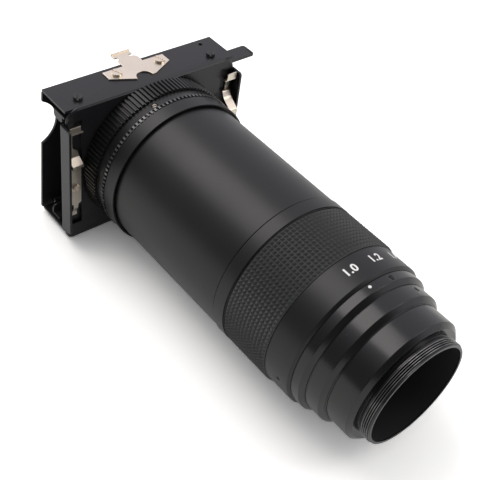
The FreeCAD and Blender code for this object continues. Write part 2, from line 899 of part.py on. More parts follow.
def shelf_knuckles(side):
    """The two shelf knuckles of one hinge, as spans along X."""
    spans = []
    for inner in (hinge_inner, hinge_inner + shelf_knuckle + door_knuckle + 2 * hinge_side_gap):
        spans.append(sorted((side * inner, side * (inner + shelf_knuckle))))
    return spans


def along_hinge(radius, x0, x1):
    """A cylinder on the door's hinge axis."""
    return Part.makeCylinder(radius, x1 - x0, V(x0, hinge_y, hinge_z), sideways)


def bottom_shelf():
    """The angle welded behind the front plate's lower edge, with hinge knuckles rolled in its rear edge."""
    under = shelf_top - sheet
    back = inner_face + shelf_depth
    shelf = block(-stage_half_width, stage_half_width, inner_face, back, under, shelf_top)
    leg = rounded_plate(-stage_half_width, stage_half_width, inner_face, inner_face + sheet,
                        stage_bottom, shelf_top, corner_radius, (1, 1, 0, 0))
    shelf = shelf.fuse(leg)
    for side in (-1, 1):
        for x0, x1 in shelf_knuckles(side):
            lug = block(x0, x1, back - sheet / 2, hinge_y, under, shelf_top)
            shelf = shelf.fuse(lug.fuse(along_hinge(hinge_knuckle_radius, x0, x1)))
            shelf = shelf.cut(along_hinge(hinge_pin_radius, x0 - hinge_side_gap / 2, x1 + hinge_side_gap / 2))
    return shelf.removeSplitter()


save("bottom_shelf", bottom_shelf())


def leaf_spring(side):
    """A leaf spring: a flat foot, a ramp into the slot, a heel on the base plate and a hooked tip."""
    flat = front_face - spring_sheet / 2
    heel = base_front - spring_heel_gap - spring_sheet / 2
    hook = flat - spring_hook
    line = [
        (flat, spring_foot),
        (flat, spring_knee - spring_knee_run),
        (flat - spring_bulge, spring_knee),
        (heel, spring_in),
        (heel, spring_heel),
        (hook, spring_lip),
        (hook, spring_tip),
    ]
    x = side * spring_centre
    spring = strip(line, spring_sheet, x - spring_half_width, x + spring_half_width)
    tab_x = x + side * spring_tab_shift
    tab = strip([(hook, spring_tab_start), (hook, spring_tip)], spring_sheet,
                tab_x - spring_half_width, tab_x + spring_half_width)
    tail = strip([(flat, spring_foot + spring_sheet), (flat, spring_tail_bend),
                  (heel, spring_tail_in), (heel, spring_tail)],
                 spring_sheet, x - spring_tail_half_width, x + spring_tail_half_width)
    spring = spring.fuse(tab).fuse(tail)
    hole = drill(spring_screw_radius, V(x, front_face - spring_sheet, spring_screw_z), spindle, spring_sheet)
    return spring.cut(hole).removeSplitter()


save("left_leaf_spring", leaf_spring(-1))
save("right_leaf_spring", leaf_spring(1))

spring_screws = []
for side in (-1, 1):
    seat = V(side * spring_centre, front_face - spring_sheet, spring_screw_z)
    spring_screws.append(slotted_screw(seat, spindle * -1, spring_screw_head, spring_screw_head_height,
                                       spring_screw_radius, spring_sheet + sheet + shoulder_gap, 35))
save("leaf_spring_screws", Part.makeCompound(spring_screws))


def top_clip():
    """The plated clip: pointed wings, a half-round notch, a tongue over the rear edge and its lipped T-head."""
    z = stage_top
    left = clip_centre - clip_half_width
    right = clip_centre + clip_half_width
    corners = [
        V(left, clip_back, z),
        V(left, clip_corner_y, z),
        V(clip_centre - clip_front_half_width, clip_front, z),
        V(clip_centre + clip_front_half_width, clip_front, z),
        V(right, clip_corner_y, z),
        V(right, clip_back, z),
        V(clip_centre + clip_tongue_half_width, clip_back, z),
        V(clip_centre + clip_tongue_half_width, clip_tongue_end, z),
        V(clip_centre - clip_tongue_half_width, clip_tongue_end, z),
        V(clip_centre - clip_tongue_half_width, clip_back, z),
    ]
    clip = Part.Face(plate_outline(corners)).extrude(V(0, 0, clip_sheet))
    shoulders = []
    for edge in clip.Edges:
        box = edge.BoundBox
        if box.ZLength > clip_sheet / 2 and flush(box.YMin, clip_tongue_end):
            shoulders.append(edge)
    clip = clip.makeFillet(clip_shoulder, shoulders)
    clip = clip.cut(drill(clip_notch_radius, V(clip_notch_x, clip_front, z), upright, clip_sheet))
    middle = z + clip_sheet / 2
    head_x = clip_centre - clip_head_offset
    neck = strip([(clip_tongue_end - clip_sheet, middle), (clip_head_start + clip_sheet, middle)],
                 clip_sheet, head_x - clip_neck_half_width, head_x + clip_neck_half_width)
    head_line = [
        (clip_head_start, middle),
        (clip_head_end, middle),
        (clip_head_end, middle + clip_head_lip),
    ]
    head = strip(head_line, clip_sheet, head_x - clip_head_half_width, head_x + clip_head_half_width)
    clip = clip.fuse(neck).fuse(head)
    for side in (-1, 1):
        place = V(side * clip_screw_x, clip_screw_y, z)
        clip = clip.cut(drill(clip_screw_radius, place, upright, clip_sheet))
    return clip.removeSplitter()


save("top_clip", top_clip())


def washer(x, z0, z1):
    """A round spacer or nut on a guide screw."""
    place = V(x, guide_screw_y, z0)
    ring = Part.makeCylinder(guide_nut_radius, z1 - z0, place)
    return ring.cut(Part.makeCylinder(guide_shank_radius, z1 - z0, place))


clip_screws = []
guide_screws = []
guide_spacers = []
guide_nuts = []
for side in (-1, 1):
    seat = V(side * clip_screw_x, clip_screw_y, stage_top + clip_sheet)
    clip_screws.append(slotted_screw(seat, upright, clip_screw_head, clip_screw_head_height,
                                     clip_screw_radius, clip_sheet + sheet + plate_gap, 20))
    seat = V(side * guide_screw_x, guide_screw_y, stage_top)
    guide_screws.append(slotted_screw(seat, upright, guide_head_radius, guide_head_height,
                                      guide_shank_radius, guide_screw_length, -35))
    spacer_bottom = shift_top + shoulder_gap
    nut_top = shift_top - sheet - shoulder_gap
    guide_spacers.append(washer(side * guide_screw_x, spacer_bottom, stage_top - sheet))
    guide_nuts.append(washer(side * guide_screw_x, nut_top - guide_nut_height, nut_top))
save("top_clip_screws", Part.makeCompound(clip_screws))
save("guide_screws", Part.makeCompound(guide_screws))
save("guide_spacers", Part.makeCompound(guide_spacers))
save("guide_nuts", Part.makeCompound(guide_nuts))


def shift_slide():
    """The sideways slide: a slotted top sheet with handle and end lip, the gate and the rails for a mount."""
    under = shift_top - sheet
    edge_x = -stage_half_width
    slide = block(edge_x, shift_reach, shift_front, shift_back, under, shift_top)
    ends = [e for e in slide.Edges if flush(e.BoundBox.XMin, shift_reach) and e.BoundBox.ZLength > sheet / 2]
    slide = slide.makeFillet(shift_arm_corner, ends)
    lip_bottom = shift_top - shift_lip_drop
    lip = block(edge_x, edge_x + sheet, shift_lip_front, shift_back, lip_bottom, shift_top)
    ends = [e for e in lip.Edges if flush(e.BoundBox.ZMax, lip_bottom) and e.BoundBox.XLength > sheet / 2]
    slide = slide.fuse(lip.makeFillet(lip_corner, ends))
    gate = block(-gate_half_width, gate_half_width, gate_front, shift_back, rail_bottom_face, shift_top)
    gate = gate.cut(block(-gate_window, gate_window, gate_front - past, shift_back + past,
                          -gate_window, gate_window))
    floor = block(-rail_half_width, rail_half_width, gate_front, rail_back,
                  rail_bottom_face, rail_bottom_face + sheet)
    lower = rounded_plate(-rail_half_width, rail_half_width, rail_front, rail_back,
                          rail_bottom_face, rail_top, rail_corner, (0, 0, 1, 1))
    roof = block(-gate_half_width, gate_half_width, gate_front, rail_back, under, shift_top)
    upper = rounded_plate(-gate_half_width, gate_half_width, rail_front, rail_back,
                          upper_rail_bottom, shift_top, rail_corner, (1, 1, 0, 0))
    for piece in (gate, floor, lower, roof, upper):
        slide = slide.fuse(piece)
    for side in (-1, 1):
        slide = slide.cut(guide_slot(side * guide_screw_x, under))
    return slide.removeSplitter()


def guide_slot(x, under):
    """The cutter of the round-ended slot that a guide screw runs in."""
    half = guide_shank_radius + slot_clearance
    cutter = block(x - shift_travel, x + shift_travel, guide_screw_y - half, guide_screw_y + half,
                   under - past, shift_top + past)
    for end in (-shift_travel, shift_travel):
        cutter = cutter.fuse(drill(half, V(x + end, guide_screw_y, under), upright, sheet))
    return cutter


save("shift_slide", shift_slide())


def leaned(shape):
    """A copy tipped forward about the hinge until the door's top meets the flange."""
    copy = shape.copy()
    copy.rotate(V(0, hinge_y, hinge_z), sideways, door_lean)
    return copy


def back_door():
    """The door: finger notches in both edges, a window and two knuckles rolled in its lower edge."""
    door = rounded_plate(-stage_half_width, stage_half_width, door_front, door_back,
                         door_bottom, door_top, door_lower_corner, (1, 1, 0, 0))
    door = door.cut(block(-door_window, door_window, door_front - past, door_back + past,
                          -door_window, door_window))
    for side in (-1, 1):
        x = side * (stage_half_width - door_notch_depth + door_notch_radius)
        door = door.cut(drill(door_notch_radius, V(x, door_front, door_notch_z), spindle, sheet))
        inner = side * (hinge_inner + shelf_knuckle + hinge_side_gap)
        x0 = min(inner, inner + side * door_knuckle)
        x1 = x0 + door_knuckle
        for k0, k1 in shelf_knuckles(side):
            relief = hinge_knuckle_radius + hinge_side_gap
            door = door.cut(block(k0 - hinge_side_gap, k1 + hinge_side_gap, door_front - past, door_back + past,
                                  door_bottom - past, hinge_z + relief))
        door = door.fuse(along_hinge(hinge_knuckle_radius, x0, x1))
        door = door.cut(along_hinge(hinge_pin_radius + running_gap, x0 - past, x1 + past))
    return leaned(door)


save("back_door", back_door())

pins = []
for side in (-1, 1):
    ends = [x for span in shelf_knuckles(side) for x in span]
    pins.append(along_hinge(hinge_pin_radius, min(ends), max(ends)))
save("door_hinge_pins", Part.makeCompound(pins))

opal = block(-diffuser_half, diffuser_half, door_back, diffuser_back, -diffuser_half, diffuser_half)
save("opal_diffuser", leaned(opal))


def diffuser_frame():
    """The shallow frame on the door's back that holds the opal sheet."""
    frame_back = diffuser_back + door_frame_sheet
    frame = block(-door_frame_half, door_frame_half, door_back, frame_back, -door_frame_half, door_frame_half)
    corners = [e for e in frame.Edges if e.BoundBox.YLength > sheet]
    frame = frame.makeFillet(door_corner, corners)
    inside = diffuser_half + shoulder_gap
    frame = frame.cut(block(-inside, inside, door_back - past, diffuser_back, -inside, inside))
    window = block(-door_frame_window, door_frame_window, door_back, frame_back + past,
                   -door_frame_window, door_frame_window)
    return leaned(frame.cut(window))


save("diffuser_frame", diffuser_frame())

for name, solids, volume in made:
    print(name, solids, round(volume, 1))
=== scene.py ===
# %% [markdown]
# # A zoom slide duplicator
# A slide duplicator copies a film slide on to fresh film. A camera screws on to its threaded nose. A zoom
# lens sits in the round barrel, and the slide rides at the far end in a stage of folded sheet metal, which
# turns, rises and shifts sideways. The measured model is loaded first, because every size comes from it.

# %% Load the measured model
import json
import math
import bmesh
import bpy
from mathutils import Matrix, Vector


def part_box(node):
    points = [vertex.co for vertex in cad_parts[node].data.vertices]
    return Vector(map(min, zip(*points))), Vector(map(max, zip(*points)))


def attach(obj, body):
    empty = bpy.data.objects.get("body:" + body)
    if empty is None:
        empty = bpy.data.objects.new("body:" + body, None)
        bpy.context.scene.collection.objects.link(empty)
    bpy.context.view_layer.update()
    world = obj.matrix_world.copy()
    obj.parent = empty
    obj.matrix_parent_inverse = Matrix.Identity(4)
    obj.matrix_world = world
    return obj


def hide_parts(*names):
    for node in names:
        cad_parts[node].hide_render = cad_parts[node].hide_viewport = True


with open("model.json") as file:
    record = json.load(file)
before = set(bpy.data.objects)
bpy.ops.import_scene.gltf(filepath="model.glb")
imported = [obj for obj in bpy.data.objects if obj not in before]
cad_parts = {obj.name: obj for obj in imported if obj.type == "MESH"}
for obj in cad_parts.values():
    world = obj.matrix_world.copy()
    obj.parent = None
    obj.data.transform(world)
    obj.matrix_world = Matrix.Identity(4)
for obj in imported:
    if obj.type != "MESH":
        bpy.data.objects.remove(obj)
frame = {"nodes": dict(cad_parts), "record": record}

mm = 0.001
nodes = frame["nodes"]
bodies = frame["record"]["behaviour"]["bodies"]
carrier = {node: body for body, members in bodies.items() for node in members}
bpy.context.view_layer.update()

# %% [markdown]
# ## The camera
# The photograph looks down on the barrel from the left of its nose. Its direction is written as a heading,
# a downward tilt and a roll, the way a photographer would read them off a tripod head, and the camera's
# three axes follow from those.

# %% Place the camera
def placed(name, data):
    """An object for this data, linked to the scene."""
    made = bpy.data.objects.new(name, data)
    bpy.context.scene.collection.objects.link(made)
    return made


heading = math.radians(46.53)
downward = math.radians(43.24)
roll = math.radians(10.15)
camera_place = Vector((-171.2, -79.22, 221.57)) * mm
focal_length = 64.52
sensor_width = 36
nearest_seen = 10 * mm
forward = Vector((math.sin(heading) * math.cos(downward), math.cos(heading) * math.cos(downward),
                  -math.sin(downward)))
level = Vector((math.cos(heading), -math.sin(heading), 0))
rightward = level * math.cos(roll) + level.cross(forward) * math.sin(roll)
camera = placed("camera", bpy.data.cameras.new("camera"))
camera.data.lens = focal_length
camera.data.sensor_width = sensor_width
camera.data.clip_start = nearest_seen
camera.rotation_mode = "QUATERNION"
camera.matrix_world = Matrix((rightward, rightward.cross(forward), -forward)).transposed().to_4x4()
camera.location = camera_place
bpy.context.scene.camera = camera
print("camera at", [round(v, 3) for v in camera_place])

# %% [markdown]
# ## Writing node trees as sums
# Shader and geometry trees are easier to read as Python expressions. One small class wraps a socket, so that
# `1 - mask` or `grain * 0.2` adds the Math node for it. One method adds any other node: it takes the node's
# type, its settings, which are set first, and the values or links of its sockets.

# %% A socket that understands arithmetic
class Signal:
    """An output socket with Python's operators, each of which adds a Math node."""

    def __init__(self, graph, socket):
        self.graph = graph
        self.socket = socket

    def math(self, operation, first, second=0.0):
        return self.graph.node("ShaderNodeMath", {"operation": operation}, {0: first, 1: second})

    def __add__(self, other):
        return self.math("ADD", self, other)

    def __sub__(self, other):
        return self.math("SUBTRACT", self, other)

    def __rsub__(self, other):
        return self.math("SUBTRACT", other, self)

    def __mul__(self, other):
        return self.math("MULTIPLY", self, other)

    def __truediv__(self, other):
        return self.math("DIVIDE", self, other)

    def __pow__(self, other):
        return self.math("POWER", self, other)

    def clamped(self):
        return self.math("MINIMUM", self, 1.0)

    __radd__ = __add__


class Graph:
    """A node tree with the one method that adds any node."""

    def __init__(self, tree):
        self.tree = tree

    def node(self, kind, settings=None, sockets=None, out=0):
        made = self.tree.nodes.new(kind)
        for name, value in (settings or {}).items():
            if name == "stops":
                self.set_stops(made, value)
            else:
                setattr(made, name, value)
        for name, value in (sockets or {}).items():
            self.plug(made.inputs[name], value)
        return Signal(self, made.outputs[out]) if made.outputs else None

    def plug(self, socket, value):
        if isinstance(value, Signal):
            self.tree.links.new(value.socket, socket)
        else:
            socket.default_value = value

    def coordinate(self, axis, vector):
        """X, Y or Z of a vector."""
        return self.node("ShaderNodeSeparateXYZ", {}, {"Vector": vector}, out=axis)

    def ray(self, kind):
        """1 for this kind of ray and 0 for the rest."""
        return self.node("ShaderNodeLightPath", out=f"Is {kind} Ray")

    def set_stops(self, made, stops):
        ramp = made.color_ramp
        while len(ramp.elements) < len(stops):
            ramp.elements.new(0.5)
        for element, (place, grey) in zip(ramp.elements, stops):
            element.position = place
            element.color = (grey, grey, grey, 1)


print("helpers:", Signal.__name__, "and", Graph.__name__)

# %% [markdown]
# ## Finishes
# Every finish reads Object coordinates in metres, so a noise of scale 2000 has grains of half a millimetre.
# The blacks are almost the same colour, and what tells them apart is how they shine: fine-turned anodising
# on the barrel, smooth enamel with a little orange peel on the folded sheet, dull rubber on the grip.

# %% A finish under construction
class Finish(Graph):
    """A material that is built up node by node and closed with shade()."""

    def __init__(self, name):
        self.material = bpy.data.materials.new(name)
        self.material.use_nodes = True
        super().__init__(self.material.node_tree)
        self.tree.nodes.clear()
        self.place = self.node("ShaderNodeTexCoord", out="Object")

    def noise(self, scale, detail=3.0, stretch=(1, 1, 1)):
        """Noise from 0 to 1 whose grains are 1/scale metres across."""
        spread = self.node("ShaderNodeMapping", {}, {"Vector": self.place, "Scale": stretch})
        return self.node("ShaderNodeTexNoise", {}, {"Vector": spread, "Scale": scale, "Detail": detail})

    def steps(self, value, stops):
        """A value read off a ramp of (place, grey) stops."""
        return self.node("ShaderNodeValToRGB", {"stops": stops}, {"Fac": value})

    def specks(self, scale, detail, start, full):
        """Small spots that begin where a noise passes start and are solid from full on."""
        return self.steps(self.noise(scale, detail), [(0.0, 0), (start, 0), (full, 1)])

    def mix(self, factor, first, second):
        """A colour between two others."""
        return self.node("ShaderNodeMix", {"data_type": "RGBA"}, {0: factor, 6: first, 7: second}, out=2)

    def bump(self, height, depth):
        """A normal that makes height look this deep, in metres."""
        return self.node("ShaderNodeBump", {}, {"Height": height, "Distance": depth, "Strength": 1.0})

    def shade(self, sockets):
        """Closes the material with a Principled shader."""
        surface = self.node("ShaderNodeBsdfPrincipled", {}, sockets)
        self.node("ShaderNodeOutputMaterial", {}, {"Surface": surface})
        return self.material


def grey(level, warmth=0.0):
    """A grey with a little warmth or, below zero, coolness."""
    return (level * (1 + warmth), level, level * (1 - warmth), 1)


def tint(red, green, blue, light=1.0):
    """A colour, made lighter or darker by one factor."""
    return (red * light, green * light, blue * light, 1)


print("white is", tint(1, 1, 1))


# %% Anodising
def anodised(name, rough, shine):
    """Black anodising over fine turning marks."""
    f = Finish(name)
    marks = f.noise(scale=900, detail=2.0, stretch=(0.15, 9, 0.15))
    cloud = f.noise(scale=60)
    dust = f.specks(scale=1500, detail=1.0, start=0.78, full=0.84)
    colour = f.mix(cloud, grey(0.006, -0.03), grey(0.009, -0.02))
    colour = f.mix(dust * 0.12, colour, grey(0.20))
    roughness = rough + cloud * 0.06 + marks * 0.04 + dust * 0.2
    return f.shade({"Base Color": colour, "Roughness": roughness, "Specular IOR Level": shine,
                    "Normal": f.bump(marks, 0.004 * mm)})


def crests_with_painted_glint(name, crest_radius, deep, bare):
    """Anodising round the Y axis whose crests carry a painted glint: a lighter, metallic grey in patches."""
    f = Finish(name)
    across = f.coordinate("X", f.place)
    upward = f.coordinate("Z", f.place)
    radius = (across * across + upward * upward) ** 0.5
    full_glint_radius = crest_radius - 0.04 * mm
    crest = f.node("ShaderNodeMapRange", {}, {
        "Value": radius, "From Min": crest_radius - deep, "From Max": full_glint_radius})
    glint_patches = f.steps(f.noise(scale=160, detail=2.0), [(0.0, 0.15), (0.42, 0.25), (0.62, 1)])
    # Painted glint: the crests turn lighter and metallic in patches, standing in for the highlights that they
    # catch.
    painted_glint = crest * glint_patches
    colour = f.mix(painted_glint, grey(0.008), grey(bare))
    return f.shade({"Base Color": colour, "Roughness": 0.2 + glint_patches * 0.08, "Metallic": painted_glint * 0.7})


finishes = {"black_anodised": anodised("satin anodising", rough=0.32, shine=0.46)}
polished = anodised("polished anodising", rough=0.15, shine=0.55)
# The thread's crests and the crown's tooth tops get a painted glint, and bare is the grey of that painted
# glint.
thread_finish = crests_with_painted_glint("worn thread", crest_radius=21.0 * mm, deep=0.16 * mm, bare=0.34)
crown_finish = crests_with_painted_glint("worn crown", crest_radius=31.3 * mm, deep=0.2 * mm, bare=0.20)
print("anodising:", polished.name, thread_finish.name, crown_finish.name)


# %% The other blacks
def enamel():
    """Satin black enamel, with the faint orange peel of sprayed paint."""
    f = Finish("black enamel")
    peel = f.noise(scale=700, detail=1.0)
    cloud = f.noise(scale=50)
    chips = f.specks(scale=2600, detail=2.0, start=0.78, full=0.82)
    colour = f.mix(cloud, tint(0.010, 0.010, 0.012), tint(0.014, 0.014, 0.016))
    colour = f.mix(chips * 0.2, colour, grey(0.22))
    return f.shade({"Base Color": colour, "Roughness": 0.26 + cloud * 0.08, "Specular IOR Level": 0.5,
                    "Normal": f.bump(peel, 0.02 * mm)})


def rubber():
    """Dull dark rubber, a little greyer where it has been handled."""
    f = Finish("grip rubber")
    grain = f.noise(scale=3500, detail=2.0)
    handled = f.noise(scale=45)
    colour = f.mix(handled, tint(0.026, 0.028, 0.028), tint(0.036, 0.038, 0.038))
    roughness = 0.46 + handled * 0.10 + grain * 0.06
    return f.shade({"Base Color": colour, "Roughness": roughness, "Specular IOR Level": 0.6,
                    "Normal": f.bump(grain, 0.01 * mm)})


def flat_black():
    """The dead black of surfaces that must not reflect light inside the barrel."""
    f = Finish("flat black")
    grain = f.noise(scale=1800, detail=2.0)
    colour = f.mix(grain, grey(0.011), grey(0.018))
    return f.shade({"Base Color": colour, "Roughness": 0.62 + grain * 0.15, "Specular IOR Level": 0.3,
                    "Normal": f.bump(grain, 0.008 * mm)})


def blackened():
    """Blackened steel screws, with brighter rubbed spots."""
    f = Finish("blackened steel")
    rub = f.specks(scale=1400, detail=2.0, start=0.55, full=0.75)
    colour = f.mix(rub * 0.5, grey(0.014), grey(0.07))
    return f.shade({"Base Color": colour, "Roughness": 0.36 - rub * 0.1, "Specular IOR Level": 0.55})


finishes.update({"black_sheet": enamel(), "grip_rubber": rubber(), "black_inner": flat_black(),
                 "black_screw": blackened()})
print("blacks", sorted(finishes))

# %% [markdown]
# Nickel plate is brushed before it is plated, so its grain runs one way. The white of the figures is paint
# filled into engraving, and the opal sheet behind the slide is milky plastic that lets light through.


# %% The bright finishes
def nickel(name, rough, light):
    """Nickel plate with a faint brushed grain and small dull spots."""
    f = Finish(name)
    brushed = f.noise(scale=1600, detail=2.0, stretch=(6, 1, 0.3))
    cloud = f.noise(scale=120)
    spots = f.specks(scale=900, detail=2.0, start=0.66, full=0.76)
    colour = f.mix(cloud, tint(0.84, 0.755, 0.63, light), tint(0.92, 0.84, 0.72, light))
    colour = f.mix(spots * 0.2, colour, tint(0.55, 0.47, 0.38))
    roughness = rough + cloud * 0.12 + brushed * 0.08 + spots * 0.15
    return f.shade({"Base Color": colour, "Metallic": 1.0, "Roughness": roughness,
                    "Normal": f.bump(brushed, 0.004 * mm)})


def white_paint():
    """White engraving paint, a little uneven."""
    f = Finish("white paint")
    cloud = f.noise(scale=1500)
    return f.shade({"Base Color": f.mix(cloud, grey(0.86), grey(0.95)), "Roughness": 0.5 + cloud * 0.1})


def brass():
    """Turned brass of the cam followers."""
    f = Finish("turned brass")
    cloud = f.noise(scale=700)
    return f.shade({"Base Color": f.mix(cloud, tint(0.55, 0.40, 0.16), tint(0.68, 0.52, 0.24)),
                    "Metallic": 1.0, "Roughness": 0.3 + cloud * 0.15})


def coated_glass():
    """Lens glass, slightly tinted by its coating."""
    f = Finish("coated glass")
    film = f.noise(scale=40)
    return f.shade({"Base Color": f.mix(film, tint(0.80, 0.86, 0.95), tint(0.90, 0.86, 0.95)),
                    "Roughness": 0.03 + film * 0.02, "Transmission Weight": 0.9, "IOR": 1.52})


def opal_plastic():
    """Milky plastic, with the faint clouding of a cast sheet."""
    f = Finish("opal plastic")
    cloud = f.noise(scale=90)
    return f.shade({"Base Color": f.mix(cloud, tint(0.80, 0.80, 0.77), tint(0.88, 0.88, 0.85)),
                    "Roughness": 0.35 + cloud * 0.1, "Subsurface Weight": 0.2})


finishes.update({
    "nickel": nickel("nickel plate", rough=0.24, light=1.0),
    "nickel_screw": nickel("bright nickel", rough=0.12, light=1.05),
    "white_mark": white_paint(),
    "brass": brass(),
    "lens_glass": coated_glass(),
    "opal": opal_plastic(),
})
bare_steel = nickel("bare steel", rough=0.2, light=0.3)
print(len(finishes), "finishes")

# %% Every node gets its finish
slot_of = {part["node"]: part["material_slot"] for part in frame["record"]["subparts"]}
for name, node in nodes.items():
    node.data.materials.clear()
    node.data.materials.append(finishes[slot_of[name]])
print(len(nodes), "nodes have a finish")

# %% [markdown]
# ## Adding a piece
# A piece stands for one node of the measured model: it hides that node, rides on the same body and takes its
# finish, unless another is given. A sheet-metal node already has the right shape, so its piece is a copy with
# the loose triangles merged and the edges softened, because a folded edge always catches a line of light.

# %% Helpers that add pieces
def add_piece(name, mesh, node, material=None):
    """Puts a mesh in the scene in place of a node of the measured model."""
    piece = placed(name, mesh)
    if not mesh.materials:
        mesh.materials.append(material or finishes[slot_of[node]])
    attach(piece, carrier[node])
    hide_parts(node)
    return piece


def applied(maker):
    """The plain mesh that an object's modifiers make. The object is removed."""
    graph = bpy.context.evaluated_depsgraph_get()
    made = bpy.data.meshes.new_from_object(maker.evaluated_get(graph))
    maker.modifiers.clear()
    bpy.data.objects.remove(maker)
    return made


def smooth(mesh):
    """Shades a mesh smoothly, but keeps its sharp edges."""
    mesh.polygons.foreach_set("use_smooth", [True] * len(mesh.polygons))
    mesh.set_sharp_from_angle(angle=math.radians(sharp_angle))


sharp_angle = 35


def soften(piece, width, segments=2, angle=sharp_angle):
    """Rounds a piece's edges and keeps its flats looking flat."""
    bevel = piece.modifiers.new("soft edges", "BEVEL")
    bevel.width = width
    bevel.segments = segments
    bevel.limit_method = "ANGLE"
    bevel.angle_limit = math.radians(angle)
    bevel.harden_normals = True


def dressed(node):
    """A copy of a node, merged to clean faces, with softened edges."""
    mesh = nodes[node].data.copy()
    work = bmesh.new()
    work.from_mesh(mesh)
    bmesh.ops.remove_doubles(work, verts=work.verts, dist=same_place)
    bmesh.ops.dissolve_limit(work, angle_limit=same_plane, verts=work.verts, edges=work.edges)
    work.to_mesh(mesh)
    work.free()
    smooth(mesh)
    soften(add_piece(node + "_dressed", mesh, node), sheet_edge)


same_place = 0.002 * mm
same_plane = math.radians(1)
sheet_edge = 0.18 * mm

# %% Sheet metal and the other pieces that keep their shape
kept_shapes = ("base_plate", "stage_housing", "bottom_shelf", "shift_slide", "back_door", "diffuser_frame",
               "top_clip", "stage_hub", "opal_diffuser")
for node in kept_shapes:
    dressed(node)
print(len(kept_shapes), "nodes dressed")

# %% [markdown]
# ## Turned pieces
# The barrel is a stack of lathe work. Each ring is one closed outline of radius and length, spun round the
# optical axis. A lathe tool always leaves a small break on a corner, so each corner of the outline is first
# rounded a little, and that is what draws the thin bright lines between the rings.

# %% A lathe
corner_break = 0.12 * mm
break_share = 0.4
ring_sides = 224


def broken_corners(outline, radius):
    """The outline with each corner replaced by a short curve, which takes a limited share of a side."""
    points = []
    for i, corner in enumerate(outline):
        before = outline[i - 1] - corner
        after = outline[(i + 1) % len(outline)] - corner
        reach = min(radius, before.length * break_share, after.length * break_share)
        start = corner + before.normalized() * reach
        end = corner + after.normalized() * reach
        for t in (0.0, 0.35, 0.65, 1.0):
            points.append(start * (1 - t) ** 2 + corner * 2 * t * (1 - t) + end * t ** 2)
    return points


def closed_mesh(name, work):
    """The mesh that was built in a bmesh, with its faces pointing outwards."""
    bmesh.ops.recalc_face_normals(work, faces=work.faces)
    mesh = bpy.data.meshes.new(name)
    work.to_mesh(mesh)
    work.free()
    return mesh


def spun(name, outline, around=ring_sides):
    """A closed outline of (radius, y) points, spun round the optical axis."""
    work = bmesh.new()
    rows = []
    for i in range(around):
        a = 2 * math.pi * i / around
        rows.append([work.verts.new((r * math.sin(a), y, r * math.cos(a))) for r, y in outline])
    for i in range(around):
        row, following = rows[i], rows[(i + 1) % around]
        for j in range(len(outline)):
            k = (j + 1) % len(outline)
            work.faces.new((row[j], row[k], following[k], following[j]))
    return closed_mesh(name, work)


def turned(name, outline, node, corner=corner_break, around=ring_sides, material=None, holes=None):
    """A ring from (radius, y) corners, in metres, in place of a node."""
    mesh = spun(name, broken_corners([Vector(p) for p in outline], corner), around)
    if holes:
        mesh = bored(mesh, *holes)
    mesh.polygons.foreach_set("use_smooth", [True] * len(mesh.polygons))
    piece = add_piece(name, mesh, node, material)
    piece.modifiers.new("flat faces stay flat", "WEIGHTED_NORMAL").weight = 100


def ring_span(node):
    """Front y, back y and outer radius of a round node."""
    low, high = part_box(node)
    return low.y, high.y, (high.x - low.x) / 2


print("each ring has", ring_sides, "sides")

# %% [markdown]
# Grub screws sit in holes on the turned rings. They ring the axis, so their places come from a clock angle,
# measured from the top towards the handle, and the holes are bored straight in with a Boolean modifier.

# %% Holes for grub screws
drill_sides = 28
grub_room = 0.05 * mm
grub_hole_depth = 1.2 * mm


def on_clock(angle, y, radius):
    """A place on the barrel's surface and the direction out of it."""
    a = math.radians(angle)
    way = Vector((math.sin(a), 0, math.cos(a)))
    return way * radius + Vector((0, y, 0)), way


def spread(clocks, y, radius):
    """One place at each clock angle."""
    return [on_clock(clock, y, radius) for clock in clocks]


def bored(mesh, holes, radius, depth):
    """The mesh with round holes bored into it at (place, direction) pairs."""
    work = bmesh.new()
    for place, way in holes:
        turn = way.to_track_quat("Z", "Y").to_matrix().to_4x4()
        bmesh.ops.create_cone(work, cap_ends=True, segments=drill_sides, radius1=radius, radius2=radius,
                              depth=depth * 2, matrix=Matrix.Translation(place) @ turn)
    drill_mesh = bpy.data.meshes.new("drill")
    work.to_mesh(drill_mesh)
    work.free()
    drill = placed("drill", drill_mesh)
    blank = placed("blank", mesh)
    blank.modifiers.new("bore", "BOOLEAN").object = drill
    made = applied(blank)
    bpy.data.objects.remove(drill)
    return made


def holes_for(group, screw_radius, room=grub_room, depth=grub_hole_depth):
    """The holes of a group of screws, which is clock angles, a y and the radius of the surface."""
    return spread(*group), screw_radius + room, depth


print("grub screw holes are", round(grub_hole_depth / mm, 1), "mm deep")

# %% The threaded nose and its collar
spigot_end, collar_radius = ring_span("camera_mount_sleeve")[1:]
front_start, front_end, front_radius = ring_span("front_ring")
inner_radius = ring_span("inner_barrel")[2]
inner_bore = inner_radius - 2.0 * mm
thread_root = 20.58 * mm
thread_end = 4.1 * mm
mouth_radius = 19.6 * mm
spigot_bore = 19.8 * mm
undercut = 20.2 * mm
shoulder_y = 5.1 * mm
shoulder_radius = 22.9 * mm
step = 1.5 * mm
turned("mount_sleeve", [
    (mouth_radius, 0), (thread_root, 0), (thread_root, thread_end), (undercut, thread_end),
    (undercut, shoulder_y), (shoulder_radius, shoulder_y), (collar_radius, shoulder_y + step),
    (collar_radius, front_start), (inner_bore, front_start), (inner_bore, spigot_end),
    (spigot_bore, spigot_end), (spigot_bore, shoulder_y), (mouth_radius, shoulder_y),
], "camera_mount_sleeve", material=polished)

lining_front = 0.5 * mm
lining_back = spigot_end - 0.1 * mm
lining_bore = mouth_radius - 0.02 * mm
lining_radius = mouth_radius + 0.1 * mm
turned("mount_lining", [
    (lining_bore, lining_front), (lining_radius, lining_front), (lining_radius, lining_back),
    (lining_bore, lining_back),
], "camera_mount_sleeve", corner=0.005 * mm, material=finishes["black_inner"])
print("the mouth is", round(mouth_radius * 2 / mm, 1), "mm wide")

